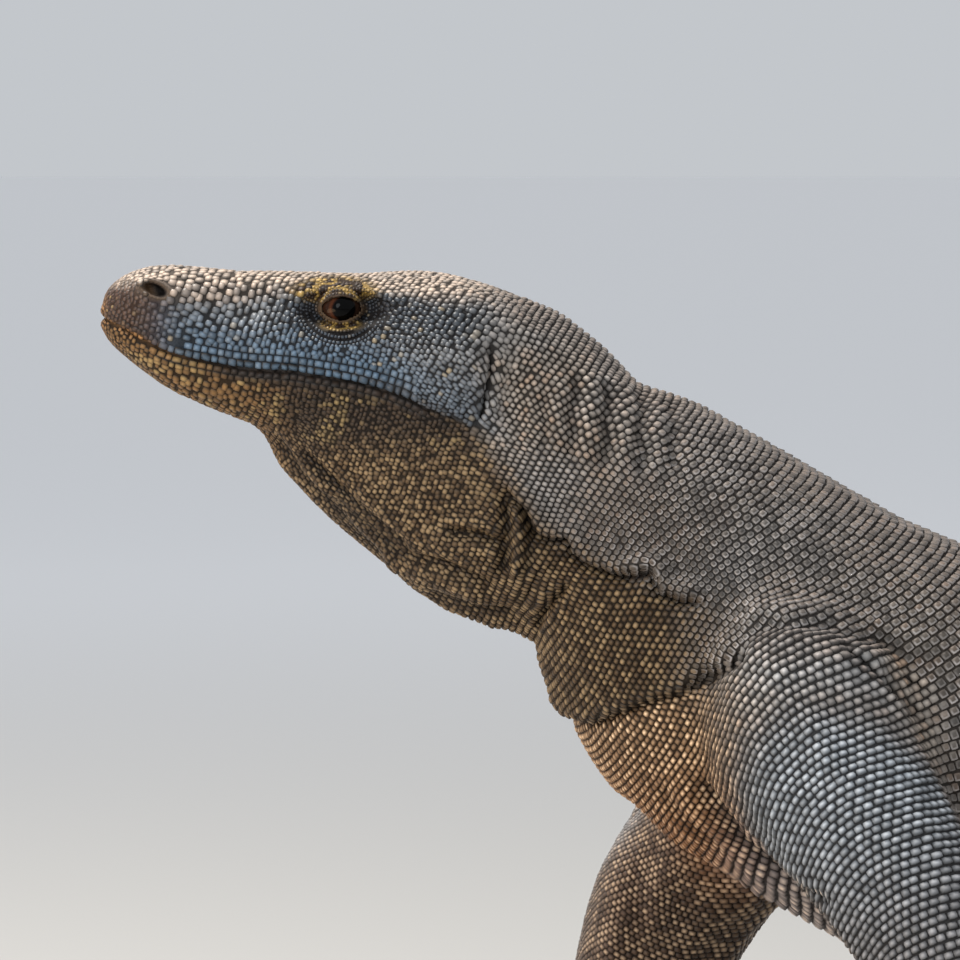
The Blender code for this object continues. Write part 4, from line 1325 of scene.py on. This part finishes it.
def scale_piece(name, coat, form, marks, rng):
    """One mesh of many scales, each laid on the skin at its root."""
    points, faces, stand = form
    count, corners = len(coat["root"]), len(points)
    facing, lie = coat["facing"], coat["lie"]
    side = np.cross(facing, lie)
    tall, square, raised, level_top, filled_long, filled_wide = coat["build"].T[:, :, None]
    tall = tall * rng.uniform(0.85, 1.15, (count, 1))
    half_long = coat["length"] * filled_long[:, 0] / 2 * rng.uniform(0.96, 1.04, count)
    half_wide = coat["width"] * filled_wide[:, 0] / 2
    slant = np.abs(2 * points[:, 0] * points[:, 1]) / np.maximum((points[:, :2] ** 2).sum(axis=1), 1e-9)
    corner = 1 + SQUARE * square * slant[None]
    along = points[None, :, 0] * corner
    across = points[None, :, 1] * corner
    up = np.select([stand == 0, stand < 1], [-SUNK, RING_STAND + 0.34 * level_top], 1.0 - 0.10 * level_top)
    up = up + np.where(stand == 0, 0.0, raised * along)
    places = coat["root"][:, None]
    places = places + (along * half_long[:, None])[..., None] * lie[:, None]
    places = places + (across * half_wide[:, None])[..., None] * side[:, None]
    places = places + (up * tall)[..., None] * facing[:, None]
    places[..., 2] = np.maximum(places[..., 2], FLOOR)
    triangles = (faces[None] + (np.arange(count) * corners)[:, None, None]).reshape(-1, 3)
    piece = mesh_object(name, places.reshape(-1, 3), triangles)
    put(piece, "stand", np.tile(stand, count))
    put(piece, "rear", np.tile(points[:, 0] / 2 + 0.5, count))
    put(piece, "tone", np.repeat(rng.uniform(0, 1, count), corners))
    put(piece, "root", np.repeat(coat["root"], corners, axis=0))
    for mark, amount in marks.items():
        put(piece, mark, np.repeat(amount, corners))
    lay_out(piece, coat, points, faces)
    return piece


def put(piece, name, values):
    """Keeps a number or a vector at each of the piece's points, for its finish to read."""
    values = np.asarray(values, np.float32)
    kind, key = ("FLOAT_VECTOR", "vector") if values.ndim == 2 else ("FLOAT", "value")
    piece.data.attributes.new(name, kind, "POINT").data.foreach_set(key, values.ravel())


def lay_out(piece, coat, points, faces):
    """Each scale is a small patch at its root's place on the unrolled skin, whose rows run across it."""
    spread = (coat["level"] - coat["level"].min()) / max(np.ptp(coat["level"]), 1)
    middle = MARGIN + (1 - 2 * MARGIN) * np.stack([spread, coat["round"]], axis=1)
    corners = middle[:, None] + points[None, :, :2] * PATCH / PATCH_POINTS
    uv = corners[:, faces.ravel()].reshape(-1, 2)
    layer = piece.data.uv_layers.new(name="OFBake")
    layer.uv.foreach_set("vector", uv.astype(np.float32).ravel())


# ---------------------------------------------------------------- finishes


class Value:
    """A number that changes over a surface; sums on it add Math nodes to its finish."""

    def __init__(self, finish, socket):
        self.finish = finish
        self.socket = socket

    def sum(self, operation, a, b):
        return self.finish.value("ShaderNodeMath", {"operation": operation}, {0: a, 1: b})

    def __add__(self, other):
        return self.sum("ADD", self, other)

    def __sub__(self, other):
        return self.sum("SUBTRACT", self, other)

    def __rsub__(self, other):
        return self.sum("SUBTRACT", other, self)

    def __mul__(self, other):
        return self.sum("MULTIPLY", self, other)

    def __truediv__(self, other):
        return self.sum("DIVIDE", self, other)

    __radd__ = __add__
    __rmul__ = __mul__

    def most(self, other):
        return self.sum("MAXIMUM", self, other)

    def eased(self, low, high):
        """0 at low and 1 at high, with a smooth way between."""
        ranges = {"Value": self, "From Min": low, "From Max": high}
        return self.finish.value("ShaderNodeMapRange", {"interpolation_type": "SMOOTHSTEP"}, ranges)


class Finish:
    """A material under construction."""

    def __init__(self, name):
        self.material = bpy.data.materials.new(name)
        self.material.use_nodes = True
        self.tree = self.material.node_tree
        self.tree.nodes.clear()
        self.shader = self.add("ShaderNodeBsdfPrincipled", {}, {})
        output = self.add("ShaderNodeOutputMaterial", {}, {})
        self.tree.links.new(self.shader.outputs["BSDF"], output.inputs["Surface"])

    def add(self, kind, settings, sockets):
        """A node with its settings, then the values or links of its sockets."""
        node = self.tree.nodes.new(kind)
        for name, setting in settings.items():
            setattr(node, name, setting)
        for name, value in sockets.items():
            self.feed(node.inputs[name], value)
        return node

    def feed(self, socket, value):
        if isinstance(value, Value):
            value = value.socket
        if isinstance(value, bpy.types.NodeSocket):
            self.tree.links.new(value, socket)
        elif isinstance(value, tuple) and len(value) == 3 and socket.type == "RGBA":
            socket.default_value = (*value, 1.0)
        else:
            socket.default_value = value

    def value(self, kind, settings, sockets, output=0):
        return Value(self, self.add(kind, settings, sockets).outputs[output])

    def read(self, name):
        return self.value("ShaderNodeAttribute", {"attribute_name": name}, {}, "Fac")

    def read_vector(self, name):
        return self.add("ShaderNodeAttribute", {"attribute_name": name}, {}).outputs["Vector"]

    def object_place(self):
        return self.add("ShaderNodeTexCoord", {}, {}).outputs["Object"]

    def blend(self, share, first, second):
        """From the first colour to the second."""
        return self.add("ShaderNodeMix", {"data_type": "RGBA"}, {0: share, 6: first, 7: second}).outputs[2]

    def shade(self, colour, amount):
        """The colour, that many times as bright."""
        grey = self.add("ShaderNodeCombineColor", {}, {0: amount, 1: amount, 2: amount}).outputs[0]
        settings = {"data_type": "RGBA", "blend_type": "MULTIPLY"}
        return self.add("ShaderNodeMix", settings, {0: 1.0, 6: colour, 7: grey}).outputs[2]

    def noise(self, place, scale, detail=2.0, roughness=0.5):
        sockets = {"Vector": place, "Scale": scale, "Detail": detail, "Roughness": roughness}
        return self.value("ShaderNodeTexNoise", {}, sockets, "Fac")

    def set(self, **sockets):
        for name, value in sockets.items():
            self.feed(self.shader.inputs[name.replace("_", " ").title().replace("Ior", "IOR")], value)


HIDE = {  # colours of the hide and of the light and shade painted on it, by marking
    "slate": (0.325, 0.302, 0.280),
    "back": (0.395, 0.330, 0.270),
    "rust": (0.320, 0.205, 0.130),
    # the pale rings of the back's scales, painted brighter at their rear edges as highlight
    "net": (0.930, 0.870, 0.840),
    "throat": (0.105, 0.062, 0.028),
    "bead": (0.230, 0.155, 0.080),
    "jaw": (0.042, 0.025, 0.013),
    "chin": (0.185, 0.098, 0.033),
    "cream": (0.270, 0.190, 0.080),
    "cheek": (0.180, 0.180, 0.182),
    "temple": (0.046, 0.050, 0.056),
    "chest": (0.320, 0.190, 0.098),
    # painted highlight on the tips of the breast's scales
    "gold": (0.760, 0.560, 0.360),
    # the lower breast's darker, redder colour, partly painted shade
    "low": (0.235, 0.094, 0.027),
    # grey blue of the legs' outer and upper faces, partly painted sky light
    "cool": (0.270, 0.292, 0.316),
    # painted shade on the up-facing back, by the neck's ridge and low on the front legs, and the neck's own
    # darker hide
    "dusk": (0.150, 0.112, 0.090),
    # painted shade on the legs' inner and lower faces
    "inner": (0.056, 0.030, 0.015),
    "plum": (0.070, 0.039, 0.027),
    # the face's blue grey, partly painted sky reflection
    "blue": (0.082, 0.132, 0.192),
    # painted light on the top of the head and snout
    "pale": (0.425, 0.328, 0.256),
    "shadow": (0.022, 0.022, 0.026),
    "yellow": (0.350, 0.220, 0.056),
    "blotch": (0.035, 0.018, 0.009),
    "rim": (0.100, 0.063, 0.036),
    # painted shade below the lips
    "band": (0.022, 0.013, 0.008),
    "ochre": (0.270, 0.138, 0.052),
    # painted shade in the nostrils and the mouth's slit
    "pit": (0.006, 0.004, 0.003),
    # near-black between the scales: partly the skin's own dark colour, partly painted shade in the gaps
    "gap": (0.008, 0.006, 0.005),
}


def hide_colour(finish, place, tone):
    """The markings and the painted light and shade, mixed over the hide's grey brown."""
    broad = finish.noise(place, 15.0, 2.0)
    grain = finish.noise(place, 150.0, 2.0, 0.6)
    spots = finish.noise(place, 75.0, 2.0, 0.5)
    warm = broad.eased(0.35, 0.65)
    colour = finish.blend(warm, HIDE["slate"], HIDE["back"])
    colour = finish.blend((grain + 0.40 * tone).eased(0.70, 0.98) * warm * 0.8, colour, HIDE["rust"])
    throat, jaw, blue = finish.read("throat"), finish.read("jaw"), finish.read("blue")
    colour = finish.blend(throat, colour, HIDE["throat"])
    colour = finish.blend((grain + 0.50 * tone).eased(0.62, 0.92) * throat * 0.85, colour, HIDE["bead"])
    colour = finish.blend(jaw, colour, HIDE["jaw"])
    colour = finish.blend(finish.read("chin") * 0.95, colour, HIDE["chin"])
    colour = finish.blend((spots + 0.22 * tone).eased(0.64, 0.80) * jaw * 0.62, colour, HIDE["cream"])
    # among these, the darker lower breast, the legs' outer and inner faces and the shade on back and neck
    # are in part painted light and shade
    for mark in ("chest", "low", "cool", "inner", "dusk", "cheek", "temple", "plum"):
        colour = finish.blend(finish.read(mark), colour, HIDE[mark])
    # the face's blue, partly painted sky reflection
    colour = finish.blend(blue * (0.75 + 0.4 * broad), colour, HIDE["blue"])
    flecks = tone.eased(0.91, 0.98) * finish.read("cheek") * grain.eased(0.42, 0.60)
    colour = finish.blend(flecks * 0.6, colour, HIDE["cream"])
    # painted light on the top of the head and snout
    colour = finish.blend(finish.read("pale") * (0.60 + 0.4 * tone), colour, HIDE["pale"])
    colour = finish.blend(finish.read("shadow"), colour, HIDE["shadow"])
    brow = finish.read("yellow")
    colour = finish.blend(brow, colour, HIDE["yellow"])
    colour = finish.blend(brow * finish.noise(place, 170.0, 1.0).eased(0.43, 0.52), colour, HIDE["blotch"])
    # the rim and ochre are the hide's own colours; the shade below the lips, in the nostrils and in the
    # mouth's slit is painted
    for mark in ("rim", "band", "ochre", "pit"):
        colour = finish.blend(finish.read(mark), colour, HIDE[mark])
    # painted shade at the bottoms of the folds
    return finish.shade(colour, 1 - 0.62 * finish.read("deep"))


def scale_finish():
    finish = Finish("scales")
    place = finish.read_vector("root")
    tone, stand, net = finish.read("tone"), finish.read("stand"), finish.read("net")
    colour = hide_colour(finish, place, tone)
    middle = stand.eased(0.60, 0.85)
    # painted highlight: the pale ring is brightest on each scale's rear edge, where light from above and
    # behind would catch it
    ring = stand.eased(0.30, 0.60) * (1 - middle) * (0.06 + 0.94 * finish.read("rear").eased(0.25, 0.75))
    colour = finish.blend(net * middle * 0.52, colour, HIDE["gap"])
    colour = finish.blend(net * ring * (0.55 + 0.45 * tone), colour, HIDE["net"])
    tip = stand.eased(0.45, 1.0) * (1 - net)
    # painted highlight: pale gold on the tips of the breast's scales, less low on the breast
    tip_highlight = finish.read("chest") * (1 - finish.read("low") * 0.6) * tip * tone.eased(0.15, 0.95)
    colour = finish.blend(tip_highlight * 0.7, colour, HIDE["gold"])
    # the tone varies the scales at random; the tip's share paints highlight on each scale's top and shade on
    # its sides
    colour = finish.shade(colour, (0.62 + 0.66 * tone) * (0.54 + 0.92 * tip))
    # the scales' sides fade to the near-black gap: partly the dark skin between them, partly painted shade
    # where they sink into it
    colour = finish.blend(stand.eased(0.58, 0.12), colour, HIDE["gap"])
    sheen = 0.62 - 0.12 * stand - 0.15 * finish.read("cheek")
    finish.set(base_color=colour, roughness=sheen, specular_ior_level=0.36)
    return finish.material


def skin_finish():
    finish = Finish("skin")
    place = finish.object_place()
    colour = hide_colour(finish, place, finish.noise(place, 320.0, 1.0))
    bare = finish.read("rim").most(finish.read("pit"))
    bare = bare.most(finish.read("plum") * 0.6).most(finish.read("yellow") * 0.7)
    # the skin between the scales is near-black, partly its own colour and partly painted shade in the gaps;
    # where bare it keeps its markings
    colour = finish.blend(0.88 - 0.88 * bare, colour, HIDE["gap"])
    height = finish.noise(place, 700.0, 3.0)
    wrinkles = finish.add("ShaderNodeBump", {}, {"Strength": 0.8, "Distance": 0.0010, "Height": height})
    finish.set(base_color=colour, roughness=0.75, specular_ior_level=0.2, normal=wrinkles.outputs[0])
    return finish.material


def eye_finish():
    finish = Finish("eyeball")
    gaze = finish.read("gaze")
    iris = finish.noise(finish.object_place(), 900.0, 2.0)
    ring = gaze.eased(4.5, 5.9) * finish.read("front").eased(0.1, 0.7)
    colour = finish.blend(ring, (0.001, 0.001, 0.001), (0.070, 0.022, 0.009))
    colour = finish.blend(gaze.eased(6.0, 7.2) * (0.4 + iris), colour, (0.026, 0.012, 0.007))
    finish.set(base_color=colour, roughness=0.06, specular_ior_level=0.10)
    return finish.material


def claw_finish():
    finish = Finish("claw_horn")
    streaks = finish.noise(finish.object_place(), 420.0, 4.0, 0.6)
    colour = finish.blend(streaks.eased(0.35, 0.7), (0.016, 0.013, 0.011), (0.085, 0.068, 0.050))
    grooves = finish.add("ShaderNodeBump", {}, {"Strength": 0.35, "Distance": 0.0006, "Height": streaks})
    finish.set(base_color=colour, roughness=0.34, normal=grooves.outputs[0])
    return finish.material


# ---------------------------------------------------------------- the pieces


def mesh_object(name, places, triangles):
    mesh = bpy.data.meshes.new(name)
    mesh.vertices.add(len(places))
    mesh.vertices.foreach_set("co", np.asarray(places, np.float32).ravel())
    mesh.loops.add(triangles.size)
    mesh.loops.foreach_set("vertex_index", np.asarray(triangles, np.int32).ravel())
    mesh.polygons.add(len(triangles))
    mesh.polygons.foreach_set("loop_start", np.arange(0, triangles.size, triangles.shape[1], dtype=np.int32))
    mesh.update(calc_edges=True)
    mesh.shade_smooth()
    return in_scene(name, mesh)


def finished(piece, finish, slot, *replaced):
    piece.data.materials.append(finish)
    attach(piece, ROOT)
    if replaced:
        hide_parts(*replaced)
    return piece


def make_eye(side, finish):
    """An eyeball with a slight bulge over the iris, looking out and a little forward."""
    bm = bmesh.new()
    bmesh.ops.create_uvsphere(bm, u_segments=64, v_segments=48, radius=EYE_RADIUS)
    gaze = []
    for vert in bm.verts:
        across = math.hypot(vert.co.x, vert.co.y)
        gaze.append(across / MILLIMETRE if vert.co.z > 0 else BEHIND_GAZE)
        if vert.co.z > 0:
            vert.co.z += EYE_BULGE * float(ease(np.array(across), 6.4 * MILLIMETRE, 2.0 * MILLIMETRE))
    way = Vector((0.06, SIDES[side], -0.02)).normalized()
    bmesh.ops.rotate(bm, verts=bm.verts, matrix=way.to_track_quat("Z", "Y").to_matrix())
    bmesh.ops.translate(bm, verts=bm.verts, vec=EYES[side])
    eye = as_object("eyeball_" + side, bm)
    eye.data.shade_smooth()
    put(eye, "gaze", gaze)
    put(eye, "front", [(EYES[side].x - vert.co.x) / (6 * MILLIMETRE) for vert in eye.data.vertices])
    return finished(eye, finish, "eye", "eye_" + side)


def make_claw(name, finish):
    """A rounded claw in the place of the solid's plain one."""
    claw = as_object(name.replace("claw", "nail"), merged_copy(name, NAIL_SWELL))
    claw.data.shade_smooth()
    rounding = claw.modifiers.new("rounding", "SUBSURF")
    rounding.levels = rounding.render_levels = 2
    return finished(claw, finish, "horn", name)


ALONG = (-math.inf, math.inf)  # all the way
# The pieces of the coat: the parts that each covers, and from and to which x
COAT_PIECES = {
    "face_scales": (("head", "lower_jaw"), (-math.inf, -0.055)),
    "head_scales": (("head", "lower_jaw"), (-0.055, math.inf)),
    "neck_scales": (("neck",), ALONG),
    "breast_scales": (("trunk",), (-math.inf, 0.235)),
    "back_scales": (("trunk",), (0.235, 0.50)),
    "flank_scales": (("trunk",), (0.50, 0.80)),
    "rump_scales": (("trunk",), (0.80, math.inf)),
    "tail_scales": (("tail_base", "tail_middle", "tail_end"), ALONG),
    "upper_arm_scales": (("upper_arm",), ALONG),
    "forearm_scales": (("forearm", "hand"), ALONG),
    "leg_scales": (("thigh", "shank", "foot"), ALONG),
}


def make_coat(coat, marks, finish, rng):
    form = scale_form(8)
    part = PART_OF_FLESH[coat["under"]]
    x = drawn(coat["root"])[:, 0]
    for name, (parts, (first, last)) in COAT_PIECES.items():
        chosen = np.isin(part, parts) & (x >= first) & (x < last)
        own = {key: values[chosen] for key, values in coat.items()}
        own_marks = {mark: amount[chosen] for mark, amount in marks.items()}
        finished(scale_piece(name, own, form, own_marks, rng), finish, "hide")


# ---------------------------------------------------------------- floor, light and camera


FLOOR_REACH = 40.0
FLOOR_MIDDLE = (0.0, -2.7, 0.0)
FLOOR_NEAR, FLOOR_FAR = 3.7, 7.7  # from its middle, between which it grows paler


def aimed(thing, place, target):
    thing.location = place
    thing.rotation_euler = (Vector(target) - Vector(place)).to_track_quat("-Z", "Y").to_euler()


def add_light(name, place, target, size, power, colour):
    light = bpy.data.lights.new(name, "AREA")
    light.shape = "DISK"
    light.size = size
    light.energy = power
    light.color = colour
    aimed(in_scene(name, light), Vector(place) + ORIGIN, Vector(target) + ORIGIN)


def make_stage():
    """A wide pale floor, a little darker under the animal's lamps."""
    bm = bmesh.new()
    bmesh.ops.create_grid(bm, x_segments=4, y_segments=4, size=FLOOR_REACH)
    floor = as_object("floor", bm)
    finish = Finish("pale_floor")
    sockets = {0: finish.object_place(), 1: FLOOR_MIDDLE}
    away = finish.value("ShaderNodeVectorMath", {"operation": "DISTANCE"}, sockets, "Value")
    far = away.eased(FLOOR_NEAR, FLOOR_FAR)
    finish.set(base_color=finish.blend(far, (0.52, 0.51, 0.49), (0.97, 0.97, 0.98)), roughness=0.9)
    floor.data.materials.append(finish.material)


CAMERA_TARGET = Vector((0.0, 0.0, 0.40))
CAMERA_AWAY = 3.2
CAMERA_RISE = math.radians(3.5)
FRAME_WIDTH = 0.48
SENSOR = 36.0


def add_camera():
    camera = in_scene("camera", bpy.data.cameras.new("camera"))
    camera.data.sensor_width = SENSOR
    camera.data.lens = SENSOR * CAMERA_AWAY / FRAME_WIDTH
    camera.data.clip_end = 60.0
    target = CAMERA_TARGET + ORIGIN
    back = Vector((0, -math.cos(CAMERA_RISE), math.sin(CAMERA_RISE)))
    aimed(camera, target + back * CAMERA_AWAY, target)
    bpy.context.scene.camera = camera


def light_scene():
    world = bpy.data.worlds.new("studio")
    world.use_nodes = True
    background = world.node_tree.nodes["Background"]
    background.inputs["Color"].default_value = (0.91, 0.95, 1.0, 1.0)
    background.inputs["Strength"].default_value = 0.60
    bpy.context.scene.world = world
    add_light("key", (-0.7, 0.5, 2.3), (0.05, 0.0, 0.40), 0.8, 52.0, (1.0, 0.95, 0.88))
    add_light("front", (-1.6, -2.6, 1.7), (0.0, 0.0, 0.38), 2.0, 46.0, (0.96, 0.98, 1.0))
    add_light("low", (-1.3, -0.5, 0.05), (-0.05, 0.0, 0.40), 0.8, 8.0, (1.0, 0.70, 0.42))
    bpy.context.scene.view_settings.view_transform = "Standard"


def make_hide():
    """The skin and the coat of scales over it, with the same markings."""
    web, under, deep = make_skin_web()
    sizes = web.smoothed(scale_sizes(drawn(web.places), under), SIZE_ROUNDS)
    flow, reach = flow_over(web)
    field = row_field(web, flow, sizes[:, 0], reach) + BETWEEN_ROWS
    rows = Rows(web, field)
    seated = seat_scales(rows, web.places, sizes[:, 1])
    kinds = kinds_over(web, under)
    kinds["deep"] = deep
    rng = np.random.default_rng(7)
    coat = whole_coat(coat_of(rows, seated, web, field, sizes, under, kinds, rng), web)

    skin = mesh_object("skin", web.places, web.triangles)
    for mark, amount in markings_at(drawn(web.places), web.normals(), kinds).items():
        put(skin, mark, amount)
    finished(skin, skin_finish(), "hide", *FLESH)
    marks = markings_at(drawn(coat["root"]), coat["facing"], {kind: coat[kind] for kind in kinds})
    make_coat(coat, marks, scale_finish(), rng)


make_hide()
eyeball = eye_finish()
for side in SIDES:
    make_eye(side, eyeball)
horn = claw_finish()
for name in CLAWS:
    make_claw(name, horn)
make_stage()
light_scene()
add_camera()
